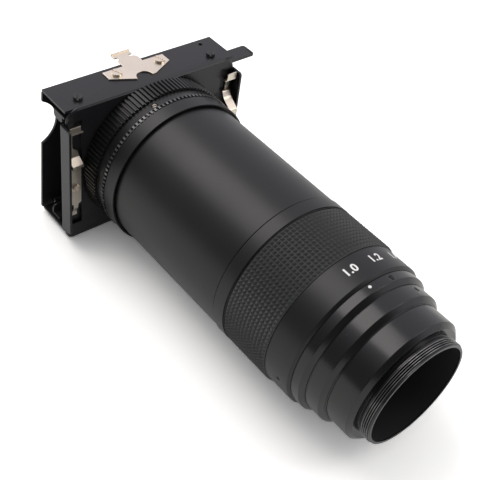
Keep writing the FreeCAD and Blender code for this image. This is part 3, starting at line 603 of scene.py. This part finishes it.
# %% The front ring and the index ring
index_start, index_back, index_radius = ring_span("index_ring")
zoom_start, zoom_end, band_radius = ring_span("zoom_ring")
index_end = zoom_start - 0.1 * mm
groove = 0.35 * mm
grub_radius = 0.9 * mm
grub_setback = 0.6 * mm
front_grubs = ((29.2, 149.2), (front_start + step + front_end) / 2 + grub_setback, front_radius)
index_grubs = ((11.3, 131.3), (index_start + step + index_back) / 2, index_radius)


def stepped_ring(name, node, front, back, outer, bore, grubs):
    """A polished ring with a groove and a wide chamfer at its front, bored for its grub screws."""
    turned(name, [
        (bore, front), (outer - step - groove, front), (outer - step - groove, front + groove),
        (outer - step, front + groove), (outer, front + step + groove), (outer, back), (bore, back),
    ], node, material=polished, holes=holes_for(grubs, grub_radius))


stepped_ring("front_ring_turned", "front_ring", front_start, front_end, front_radius, inner_bore,
             front_grubs)
stepped_ring("index_ring_turned", "index_ring", index_start, index_end, index_radius, inner_radius,
             index_grubs)
print("camera end reaches", round(index_end / mm, 2), "mm back from the mouth")

# %% The zoom ring and the smooth band
grip_front, grip_back, grip_radius = ring_span("rubber_grip")
seat_radius = grip_radius - 1.5 * mm
cam_bore = seat_radius - 1.0 * mm
band_chamfer = 0.9 * mm
edge_length = 0.25 * mm
edge_depth = 0.3 * mm
zoom_grub_radius = 0.7 * mm
zoom_grub_setback = 5.0 * mm
zoom_grubs = ((-101.8, 138.2), zoom_start + zoom_grub_setback, band_radius)
turned("zoom_ring_turned", [
    (cam_bore, zoom_start), (band_radius - band_chamfer, zoom_start),
    (band_radius, zoom_start + band_chamfer), (band_radius, grip_front - edge_length),
    (band_radius - edge_depth, grip_front), (seat_radius, grip_front), (seat_radius, zoom_end),
    (cam_bore, zoom_end),
], "zoom_ring", holes=holes_for(zoom_grubs, zoom_grub_radius))

stop_front, stop_back, stop_radius = ring_span("grip_stop_ring")
stop_groove = stop_radius - 0.5 * mm
turned("grip_stop_band", [
    (inner_radius, stop_front), (stop_groove, stop_front), (stop_groove, stop_front + groove),
    (stop_radius, stop_front + groove), (stop_radius, stop_back), (inner_radius, stop_back),
], "grip_stop_ring")
print("number band radius", round(band_radius / mm, 1), "mm")

# %% The long tube and the rear collar
tube_front, tube_back, tube_radius = ring_span("main_tube")
tube_chamfer = 0.5 * mm
turned("main_tube_turned", [
    (inner_radius, tube_front), (tube_radius, tube_front), (tube_radius, tube_back - tube_chamfer),
    (tube_radius - tube_chamfer, tube_back), (inner_radius, tube_back),
], "main_tube", around=256)

collar_front, sleeve_back, rear_radius = ring_span("rear_collar")
collar_back = collar_front + 5.7 * mm
lip_bore = rear_radius - 0.7 * mm
lip_bottom = collar_front + 1.7 * mm
sleeve_bore = inner_radius - 3 * mm
sleeve_front = collar_back - 1.8 * mm
turned("rear_collar_turned", [
    (inner_radius, lip_bottom), (lip_bore, lip_bottom), (lip_bore, collar_front), (rear_radius, collar_front),
    (rear_radius, collar_back), (inner_radius, collar_back), (inner_radius, sleeve_back),
    (sleeve_bore, sleeve_back), (sleeve_bore, sleeve_front), (inner_radius, sleeve_front),
], "rear_collar")
print("tube", round((tube_back - tube_front) / mm, 1), "mm long")

# %% [markdown]
# ## What repeats round the axis
# The rubber grip is a field of small pyramids, and the stage ring is cut with straight flutes. Both follow
# one rule: a stud with a narrowed top stands at every step of a grid wrapped round the axis. Geometry Nodes
# suits that well. The same tree makes pyramids when both sides of the top are narrowed, and flutes when only
# the side that faces round the ring is.

# %% A tree with named inputs
class Recipe(Graph):
    """A geometry tree with named inputs, run once on a mesh to give a plain mesh."""

    def __init__(self, name, inputs):
        tree = bpy.data.node_groups.new(name, "GeometryNodeTree")
        super().__init__(tree)
        tree.interface.new_socket("Geometry", in_out="INPUT", socket_type="NodeSocketGeometry")
        tree.interface.new_socket("Geometry", in_out="OUTPUT", socket_type="NodeSocketGeometry")
        for label, kind in inputs.items():
            tree.interface.new_socket(label, in_out="INPUT", socket_type="NodeSocket" + kind)
        self.entry = tree.nodes.new("NodeGroupInput")

    def value(self, label):
        return Signal(self, self.entry.outputs[label])

    def close(self, geometry):
        """Ends the tree in Realize Instances and Set Material."""
        real = self.node("GeometryNodeRealizeInstances", {}, {"Geometry": geometry})
        coated = self.node("GeometryNodeSetMaterial", {}, {
            "Geometry": real, "Material": self.value("Finish")})
        self.node("NodeGroupOutput", {}, {"Geometry": coated})

    def run(self, mesh, values):
        """Applies the tree to a mesh and returns the result as a plain mesh."""
        maker = placed("maker", mesh)
        modifier = maker.modifiers.new("recipe", "NODES")
        modifier.node_group = self.tree
        for item in self.tree.interface.items_tree:
            if item.in_out == "INPUT" and item.name in values:
                modifier[item.identifier] = values[item.name]
        return applied(maker)

    def vector(self, x=0.0, y=0.0, z=0.0):
        return self.node("ShaderNodeCombineXYZ", {}, {"X": x, "Y": y, "Z": z})


# %% Studs wrapped round the axis
def studs_recipe():
    """Studs on a grid wrapped round the Y axis, joined to the sleeve that they stand on."""
    r = Recipe("studs round an axis", {
        "Root": "Float", "Start": "Float", "Length": "Float", "Rows": "Int", "Around": "Int",
        "Height": "Float", "Foot round": "Float", "Top round": "Float", "Top along": "Float",
        "Finish": "Material"})
    row_pitch = r.value("Length") / r.value("Rows")
    round_pitch = r.value("Root") * (2 * math.pi) / r.value("Around")
    line = r.node("GeometryNodeMeshLine", {}, {
        "Count": r.value("Rows"), "Start Location": r.vector(y=r.value("Start") + row_pitch * 0.5),
        "Offset": r.vector(y=row_pitch)})
    circle = r.node("GeometryNodeMeshCircle", {}, {"Vertices": r.value("Around"), "Radius": r.value("Root")})
    upright = r.node("GeometryNodeTransform", {}, {"Geometry": circle, "Rotation": (math.pi / 2, 0, 0)})
    grid = r.node("GeometryNodeInstanceOnPoints", {}, {"Points": line, "Instance": upright})
    grid = r.node("GeometryNodeRealizeInstances", {}, {"Geometry": grid})
    sunk = r.value("Height") * sunk_share
    depth = r.value("Height") + sunk
    foot = round_pitch * r.value("Foot round")
    block = r.node("GeometryNodeMeshCube", {}, {"Size": r.vector(foot, row_pitch, depth)})
    block = r.node("GeometryNodeTransform", {}, {
        "Geometry": block, "Translation": r.vector(z=depth * 0.5 - sunk)})
    place = r.node("GeometryNodeInputPosition")
    top = r.node("FunctionNodeCompare", {"operation": "GREATER_THAN"}, {0: r.coordinate("Z", place), 1: 0.0})
    narrowed = r.node("ShaderNodeVectorMath", {"operation": "MULTIPLY"}, {
        0: place, 1: r.vector(r.value("Top round"), r.value("Top along"), 1.0)})
    stud = r.node("GeometryNodeSetPosition", {}, {"Geometry": block, "Selection": top, "Position": narrowed})
    outward = r.node("ShaderNodeVectorMath", {"operation": "MULTIPLY"}, {0: place, 1: (1, 0, 1)})
    turn = r.node("FunctionNodeAxesToRotation", {"primary_axis": "Z", "secondary_axis": "Y"}, {
        0: outward, 1: (0, 1, 0)})
    studs = r.node("GeometryNodeInstanceOnPoints", {}, {"Points": grid, "Instance": stud, "Rotation": turn})
    joined = r.node("GeometryNodeJoinGeometry", {}, {"Geometry": studs})
    r.plug(joined.socket.node.inputs["Geometry"], r.value("Geometry"))
    r.close(joined)
    return r


sunk_share = 0.2
studs = studs_recipe()
print("studs take", len(studs.tree.nodes), "nodes")

# %% The rubber grip
studs_around = 114
grip_rows = 13
grip_height = 0.72 * mm
grip_root = grip_radius - grip_height
grip_margin = 0.15 * mm
pyramid_top = 0.14
grip_sleeve = spun("sleeve", [
    (seat_radius, grip_front), (grip_root, grip_front), (grip_root, grip_back), (seat_radius, grip_back)])
grip_mesh = studs.run(grip_sleeve, {
    "Root": grip_root, "Start": grip_front + grip_margin, "Length": grip_back - grip_front - grip_margin * 2,
    "Rows": grip_rows, "Around": studs_around, "Height": grip_height, "Foot round": 1.0,
    "Top round": pyramid_top, "Top along": pyramid_top, "Finish": finishes["grip_rubber"]})
add_piece("pyramid_grip", grip_mesh, "rubber_grip")
print("grip faces", len(grip_mesh.polygons))

# %% [markdown]
# ## The stage ring
# The ring that turns the stage has a low crown of teeth at its front, a smooth band with three set screws,
# and long flutes at its back. In the photograph the crown's teeth show as a row of small bright squares,
# so their flat tops carry a painted highlight, a lighter metallic grey in patches.

# %% The crown and the flutes
ring_front, ring_back, flute_radius = ring_span("stage_ring")
crown_back = ring_front + 1.4 * mm
band_back = crown_back + 4.3 * mm
flute_depth = 0.75 * mm
crown_root = rear_radius - 0.55 * mm
flute_root = flute_radius - flute_depth
ring_bore = inner_radius + 0.2 * mm
hub_radius = ring_span("stage_hub")[2]


def fluted_piece(name, front, back, root, bore, foot, top, finish):
    """A length of ridges. foot is a ridge's share of the pitch, and top is its crest's share of the foot."""
    sleeve = spun("sleeve", [(bore, front), (root, front), (root, back), (bore, back)])
    mesh = studs.run(sleeve, {
        "Root": root, "Start": front, "Length": back - front, "Rows": 1, "Around": studs_around,
        "Height": flute_depth, "Foot round": foot, "Top round": top, "Top along": 1.0, "Finish": finish})
    add_piece(name, mesh, "stage_ring")


fluted_piece("stage_ring_crown", ring_front, crown_back, crown_root, ring_bore, foot=0.55, top=0.85,
             finish=crown_finish)
fluted_piece("stage_ring_flutes", band_back, ring_back, flute_root, hub_radius, foot=0.86, top=0.5,
             finish=finishes["black_anodised"])
print("flutes", round((ring_back - band_back) / mm, 1), "mm long")

# %% The smooth band with its set screw holes
set_low, set_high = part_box("stage_set_screws")
set_y = (set_low.y + set_high.y) / 2
set_radius = 1.1 * mm
set_room = 0.25 * mm
set_hole_depth = 1.6 * mm
band_front_radius = rear_radius - 0.15 * mm
band_back_radius = rear_radius - 0.7 * mm
set_screws = ((-15.2, 104.8, 224.8), set_y, rear_radius - 0.4 * mm)
turned("stage_ring_band", [
    (ring_bore, crown_back), (band_front_radius, crown_back), (band_back_radius, band_back),
    (ring_bore, band_back),
], "stage_ring", holes=holes_for(set_screws, set_radius, set_room, set_hole_depth))
print("set screws", round(set_y / mm, 1), "mm behind the mouth")

# %% [markdown]
# ## The screw thread
# The nose carries a fine thread, and a thread is a ridge that follows a helix, so Geometry Nodes sweeps a
# small square, set on its corner, along a spiral.

# %% The nose thread
def thread_recipe():
    """A ridge that follows a helix round the Y axis."""
    r = Recipe("thread on a nose", {
        "Radius": "Float", "Turns": "Float", "Pitch": "Float", "Start": "Float", "Finish": "Material"})
    spiral = r.node("GeometryNodeCurveSpiral", {}, {
        "Resolution": 160, "Rotations": r.value("Turns"), "Start Radius": r.value("Radius"),
        "End Radius": r.value("Radius"), "Height": r.value("Turns") * r.value("Pitch")})
    ridge = r.node("GeometryNodeCurvePrimitiveCircle", {}, {
        "Resolution": 4, "Radius": r.value("Pitch") * 0.5})
    swept = r.node("GeometryNodeCurveToMesh", {}, {
        "Curve": spiral, "Profile Curve": ridge, "Fill Caps": True})
    laid = r.node("GeometryNodeTransform", {}, {
        "Geometry": swept, "Rotation": (-math.pi / 2, math.pi / 2, 0),
        "Translation": r.vector(y=r.value("Start"))})
    r.close(laid)
    return r


thread_turns = 4.2
thread_pitch = 0.75 * mm
thread_start = 0.5 * mm
thread_lift = 0.045 * mm
thread_mesh = thread_recipe().run(bpy.data.meshes.new("empty"), {
    "Radius": thread_root + thread_lift, "Turns": thread_turns, "Pitch": thread_pitch, "Start": thread_start,
    "Finish": thread_finish})
add_piece("nose_thread", thread_mesh, "camera_mount_sleeve")
print("thread faces", len(thread_mesh.polygons))

# %% [markdown]
# ## Slotted screws
# All the screws are the same idea in different sizes: a round head with a slot. One tree cuts the slot out of
# a head and sets a copy at every point of a small mesh, turned to face the way that the point's attribute
# says. A slot's angle is different on every real screw, so it is an input.

# %% A tree for slotted heads
def screws_recipe():
    """A slotted head at every point, facing the way that the point's attribute says."""
    r = Recipe("slotted screws", {
        "Radius": "Float", "Height": "Float", "Slot width": "Float", "Slot depth": "Float",
        "Slot angle": "Float", "Finish": "Material"})
    head = r.node("GeometryNodeMeshCylinder", {}, {
        "Vertices": 40, "Radius": r.value("Radius"), "Depth": r.value("Height")})
    head = r.node("GeometryNodeTransform", {}, {
        "Geometry": head, "Translation": r.vector(z=r.value("Height") * 0.5)})
    cut = r.node("GeometryNodeMeshCube", {}, {
        "Size": r.vector(r.value("Radius") * 3.0, r.value("Slot width"), r.value("Slot depth") * 2.0)})
    cut = r.node("GeometryNodeTransform", {}, {
        "Geometry": cut, "Translation": r.vector(z=r.value("Height")),
        "Rotation": r.vector(z=r.value("Slot angle"))})
    screw = r.node("GeometryNodeMeshBoolean", {"operation": "DIFFERENCE"}, {"Mesh 1": head, "Mesh 2": cut})
    facing = r.node("GeometryNodeInputNamedAttribute", {"data_type": "FLOAT_VECTOR"}, {"Name": "facing"})
    turn = r.node("FunctionNodeAxesToRotation", {"primary_axis": "Z", "secondary_axis": "X"}, {
        0: facing, 1: nearly_along_y})
    heads = r.node("GeometryNodeInstanceOnPoints", {}, {
        "Points": r.value("Geometry"), "Instance": screw, "Rotation": turn})
    r.close(heads)
    return r


nearly_along_y = (0.03, 1, 0.02)
screws = screws_recipe()


def add_screws(name, node, places, radius, height, slot_width, slot_depth, angle, rim=0.1 * mm, finish=None):
    """Slotted heads at (place, direction) pairs, in place of a node."""
    seats = bpy.data.meshes.new("seats")
    seats.from_pydata([place for place, way in places], [], [])
    seats.attributes.new("facing", "FLOAT_VECTOR", "POINT")
    for entry, (place, way) in zip(seats.attributes["facing"].data, places):
        entry.vector = way
    mesh = screws.run(seats, {
        "Radius": radius, "Height": height, "Slot width": slot_width, "Slot depth": slot_depth,
        "Slot angle": math.radians(angle), "Finish": finish or finishes[slot_of[node]]})
    smooth(mesh)
    soften(add_piece(name, mesh, node), rim, segments=4, angle=50)


print("heads take", len(screws.tree.nodes), "nodes")

# %% Screws on the flange and the springs
front_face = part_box("stage_housing")[0].y
flange_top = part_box("stage_housing")[1].z
clip_sheet = 0.6 * mm
strip = 0.45 * mm


def screw_pair(name, node, seat, facing_up, smaller=0.0, **look):
    """Heads left and right of the middle, on the surface at seat, sized by the node's own."""
    low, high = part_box(node)
    if facing_up:
        way = Vector((0, 0, 1))
        radius = (high.y - low.y) / 2
        height = high.z - seat
        y, z = (low.y + high.y) / 2, seat
    else:
        way = Vector((0, -1, 0))
        radius = (high.z - low.z) / 2
        height = seat - low.y
        y, z = seat, (low.z + high.z) / 2
    x = high.x - radius
    places = [(Vector((side * x, y, z)), way) for side in (-1, 1)]
    add_screws(name, node, places, radius - smaller, height, **look)
    print(name, "at x", round(x / mm, 1))


screw_pair("guide_screw_heads", "guide_screws", flange_top, True,
           slot_width=0.8 * mm, slot_depth=0.7 * mm, angle=-35, rim=0.15 * mm)
screw_pair("clip_screw_heads", "top_clip_screws", flange_top + clip_sheet, True,
           slot_width=0.6 * mm, slot_depth=0.5 * mm, angle=25, rim=0.2 * mm)
screw_pair("spring_screw_heads", "leaf_spring_screws", front_face - strip, False, smaller=0.3 * mm,
           slot_width=0.7 * mm, slot_depth=0.7 * mm, angle=35, rim=0.2 * mm)

# %% [markdown]
# The grub screws in the bored holes are the same heads, turned outwards and sunk just under the surface.

# %% Grub screws in the rings
grub_sink = 0.15 * mm


def sunk_screws(name, node, groups, radius, length, **look):
    """Grub screws whose slotted ends lie just under the surface."""
    places = []
    for clocks, y, surface in groups:
        places += spread(clocks, y, surface - length - grub_sink)
    add_screws(name, node, places, radius, length, slot_depth=0.6 * mm, **look)
    print(name, len(places))


sunk_screws("ring_grubs", "ring_grub_screws", [front_grubs, index_grubs], grub_radius, 0.9 * mm,
            slot_width=0.5 * mm, angle=25)
sunk_screws("zoom_grubs", "zoom_ring_grub_screws", [zoom_grubs], zoom_grub_radius, 0.9 * mm,
            slot_width=0.4 * mm, angle=25)
sunk_screws("stage_set_grubs", "stage_set_screws", [set_screws], set_radius - set_room, 1.3 * mm,
            slot_width=0.45 * mm, angle=70, finish=bare_steel)

# %% [markdown]
# ## Leaf springs
# Two springs of bent strip press on the housing. A strip is drawn as a line of places with their own widths,
# its bends are rounded, and then it is given its thickness. The right spring bulges further forward.

# %% A bent strip
bend_share = 0.45
bend_steps = 6


def rounded_path(places, radius):
    """The open line with its inner corners turned into short curves."""
    path = [places[0]]
    for before, corner, after in zip(places, places[1:], places[2:]):
        start = corner + (before - corner) * min(bend_share, radius / (before - corner).length)
        end = corner + (after - corner) * min(bend_share, radius / (after - corner).length)
        for i in range(bend_steps + 1):
            t = i / bend_steps
            path.append(start * (1 - t) ** 2 + corner * 2 * t * (1 - t) + end * t ** 2)
    return path + [places[-1]]


def bent_strip(name, node, places, thickness, radius):
    """A strip along (y, z, left x, right x) places, in millimetres."""
    path = rounded_path([Vector(p) * mm for p in places], radius)
    work = bmesh.new()
    rows = []
    for i, here in enumerate(path):
        before = path[max(i - 1, 0)]
        after = path[min(i + 1, len(path) - 1)]
        along = Vector((after.x - before.x, after.y - before.y)).normalized()
        out = Vector((-along.y, along.x)) * thickness / 2
        row = []
        for x, side in ((here.z, 1), (here.w, 1), (here.w, -1), (here.z, -1)):
            row.append(work.verts.new((x, here.x + side * out.x, here.y + side * out.y)))
        rows.append(row)
    for row, following in zip(rows, rows[1:]):
        for j in range(4):
            k = (j + 1) % 4
            work.faces.new((row[j], row[k], following[k], following[j]))
    work.faces.new(rows[0])
    work.faces.new(rows[-1])
    mesh = closed_mesh(name, work)
    smooth(mesh)
    soften(add_piece(name, mesh, node), strip_edge, angle=50)
    print(name, len(path), "places")


# %% The two springs
strip_edge = 0.08 * mm
foot_room = 0.23
foot_y = front_face / mm - foot_room
tuck_y = 145.8
tail = [(tuck_y, -20.2, 33.7, 35.7), (tuck_y, -18.2, 33.7, 35.7), (foot_y, -15.8, 33.7, 35.7),
        (foot_y, -13.7, 33.7, 35.7), (foot_y, -13.6, 32.4, 37.0)]
left_bow = [(foot_y, 4.0, 32.4, 37.0), (142.2, 5.8, 32.4, 37.0), (tuck_y, 8.9, 32.8, 37.2),
            (tuck_y, 11.6, 33.4, 37.5), (tuck_y, 12.4, 35.3, 37.8)]
right_bow = [(foot_y, -2.0, 32.6, 37.1), (139.4, 3.6, 33.2, 37.1), (138.3, 9.2, 33.4, 37.2),
             (143.4, 12.8, 33.4, 37.2), (144.7, 15.4, 33.5, 37.4)]
hook = [(tuck_y, 15.0, 35.5, 37.8), (tuck_y, 20.2, 35.5, 37.8), (143.6, 21.3, 32.6, 38.1),
        (142.5, 21.4, 32.6, 38.1), (142.8, 22.0, 33.7, 38.1), (142.7, 24.4, 33.7, 38.1)]
bend_radius = 1.0 * mm
left_places = [(y, z, -outer, -inner) for y, z, inner, outer in tail + left_bow + hook]
bent_strip("left_leaf_spring_bent", "left_leaf_spring", left_places, strip, bend_radius)
bent_strip("right_leaf_spring_bent", "right_leaf_spring", tail + right_bow + hook, strip, bend_radius)

# %% [markdown]
# ## The zoom scale
# Plain figures are engraved round the number band and filled with white. Flat text is turned into a mesh,
# laid on the band's surface and bent round it, so that it follows the ring at any place.

# %% Figures round the band
figure_height = 3.0 * mm
font_scale = 1.4
letter_gap = 1.08
boldness = 0.045
paint_lift = 0.03 * mm
figures_y = 34.5 * mm
first_clock = -8.4
scale_step = 22.0


def bent_text(name, text, height, clock, y, radius, node):
    """Text that reads with its top towards the stage, wrapped on the surface."""
    curve = bpy.data.curves.new(name, "FONT")
    curve.body = text
    curve.size = height * font_scale
    curve.space_character = letter_gap
    curve.align_x = "CENTER"
    curve.align_y = "CENTER"
    curve.offset = height * boldness
    curve.resolution_u = 4
    mesh = applied(placed("flat", curve))
    work = bmesh.new()
    work.from_mesh(mesh)
    bmesh.ops.triangulate(work, faces=work.faces)
    bmesh.ops.subdivide_edges(work, edges=work.edges, cuts=1)
    middle = math.radians(clock)
    lift = radius + paint_lift
    for v in work.verts:
        a = middle + v.co.x / radius
        v.co = Vector((lift * math.sin(a), y + v.co.y, lift * math.cos(a)))
    bmesh.ops.recalc_face_normals(work, faces=work.faces)
    outward = 0.0
    for face in work.faces:
        centre = face.calc_center_median()
        outward += face.normal.x * centre.x + face.normal.z * centre.z
    if outward < 0:
        bmesh.ops.reverse_faces(work, faces=work.faces)
    work.to_mesh(mesh)
    work.free()
    mesh.materials.clear()
    mesh.materials.append(finishes["white_mark"])
    piece = placed(name, mesh)
    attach(piece, carrier[node])


for i, figure in enumerate(("1.0", "1.2", "1.4", "1.6", "1.8", "2.0", "2.5")):
    bent_text("figure_" + figure.replace(".", "_"), figure, figure_height, first_clock + scale_step * i,
              figures_y, band_radius, "zoom_ring")
print("figures", round(figures_y / mm, 1), "mm behind the mouth")

# %% The index dot
dot_sides = 28
dot_depth = 0.2 * mm


def inlaid_dot(name, node, clock, y, radius, across):
    """A thin filled disc that follows the ring's surface."""
    work = bmesh.new()
    rings = []
    for height in (-dot_depth, paint_lift):
        ring = []
        for i in range(dot_sides):
            a = 2 * math.pi * i / dot_sides
            beside = math.degrees(math.cos(a) * across / 2 / radius)
            place, way = on_clock(clock + beside, y + math.sin(a) * across / 2, radius + height)
            ring.append(work.verts.new(place))
        rings.append(ring)
        work.faces.new(ring)
    for i in range(dot_sides):
        j = (i + 1) % dot_sides
        work.faces.new((rings[0][i], rings[0][j], rings[1][j], rings[1][i]))
    add_piece(name, closed_mesh(name, work), node)
    print(name, round(across / mm, 2), "mm across")


inlaid_dot("index_dot_inlaid", "index_dot", clock=-6.9, y=26.6 * mm, radius=index_radius, across=1.15 * mm)

# %% [markdown]
# ## Floor
# The photograph was taken on white paper. The paper shows white where the camera looks at it, and still
# takes the object's shadow. It isn't part of the object.

# %% White paper
paper_level = -31.6 * mm
paper_reach = 3.0
paper_mesh = bpy.data.meshes.new("paper")
paper_mesh.from_pydata([(side * paper_reach, end * paper_reach, paper_level)
                        for side, end in ((-1, -1), (1, -1), (1, 1), (-1, 1))], [], [(0, 1, 2, 3)])
floor = placed("paper", paper_mesh)


paper_mirrored = 0.15


def paper():
    """White paper, overexposed for the camera as in the photograph, and a little in reflections."""
    f = Finish("white paper")
    fibre = f.noise(scale=300)
    plain = f.node("ShaderNodeBsdfDiffuse", {}, {"Color": f.mix(fibre, grey(0.80), grey(0.84))})
    overexposed = f.node("ShaderNodeBsdfDiffuse", {}, {"Color": f.mix(fibre, grey(1.60), grey(1.66))})
    bright = f.ray("Camera") + f.ray("Glossy") * paper_mirrored
    surface = f.node("ShaderNodeMixShader", {}, {0: bright, 1: plain, 2: overexposed})
    f.node("ShaderNodeOutputMaterial", {}, {"Surface": surface})
    return f.material


paper_mesh.materials.append(paper())
print("paper at z", round(paper_level / mm, 1), "mm")

# %% [markdown]
# ## Light
# Black metal shows little but the room that it mirrors. The room is white for the camera, and shiny blacks
# also find a dim corner and a dim wall on the camera's side, which draw the dark bands along the barrel. A
# large softbox high behind the stage gives the broad highlight, and a small lamp in front, on the right,
# lights the ramps of the leaf springs.

# %% The room
ambient = 0.6
open_wall = 0.8
dim_wall = 0.18
front_share = 0.1
dim_corner = Vector((-0.80, 0, 0.05)).normalized()
front_wall = Vector((-0.35, -0.78, 0.50)).normalized()
cool_mirror = tint(0.95, 0.915, 1.0)


def studio():
    """A white room for the camera and for glass, with two dim sides for glossy blacks."""
    world = bpy.data.worlds.new("studio")
    world.use_nodes = True
    sky = Graph(world.node_tree)
    world.node_tree.nodes.clear()
    way = sky.node("ShaderNodeTexCoord", out="Generated")

    def side(towards, start, full, far_level, near_level):
        """Brightness that changes smoothly as a direction comes near another."""
        nearness = sky.node("ShaderNodeVectorMath", {"operation": "DOT_PRODUCT"}, {0: way, 1: towards},
                            out="Value")
        return sky.node("ShaderNodeMapRange", {"interpolation_type": "SMOOTHSTEP"}, {
            "Value": nearness, "From Min": start, "From Max": full, "To Min": far_level,
            "To Max": near_level})

    corner = side(dim_corner, start=0.35, full=0.9, far_level=open_wall, near_level=dim_wall)
    front = side(front_wall, start=0.4, full=0.8, far_level=1.0, near_level=front_share)
    direct = (sky.ray("Camera") + sky.ray("Transmission")).clamped()
    glossy = sky.ray("Glossy")
    strength = direct + (1 - direct) * (glossy * (corner * front) + (1 - glossy) * ambient)
    colour = sky.node("ShaderNodeMix", {"data_type": "RGBA"}, {
        0: glossy, 6: tint(1, 1, 1), 7: cool_mirror}, out=2)
    background = sky.node("ShaderNodeBackground", {}, {"Color": colour, "Strength": strength})
    sky.node("ShaderNodeOutputWorld", {}, {"Surface": background})
    return world


bpy.context.scene.world = studio()
print("room light", ambient, "with walls", dim_wall, "to", open_wall)

# %% The lamps
lamp_colour = (1.0, 0.95, 0.91)
aim = Vector((0, 80 * mm, 0))


def softbox(name, azimuth, elevation, distance, size, power):
    """A square softbox in a direction from the object, aimed at it."""
    az, el = math.radians(azimuth), math.radians(elevation)
    way = Vector((math.sin(az) * math.cos(el), math.cos(az) * math.cos(el), math.sin(el)))
    light = bpy.data.lights.new(name, "AREA")
    light.shape = "SQUARE"
    light.size = size
    light.energy = power
    light.color = lamp_colour
    holder = placed(name, light)
    holder.location = aim + way * distance
    holder.rotation_mode = "QUATERNION"
    holder.rotation_quaternion = (-way).to_track_quat("-Z", "Y")
    print(name, power, "W")


softbox("back softbox", azimuth=-17, elevation=60, distance=0.9, size=0.6, power=2.7)
softbox("front lamp", azimuth=135, elevation=40, distance=0.6, size=0.24, power=0.45)
bpy.context.scene.view_settings.view_transform = "Standard"
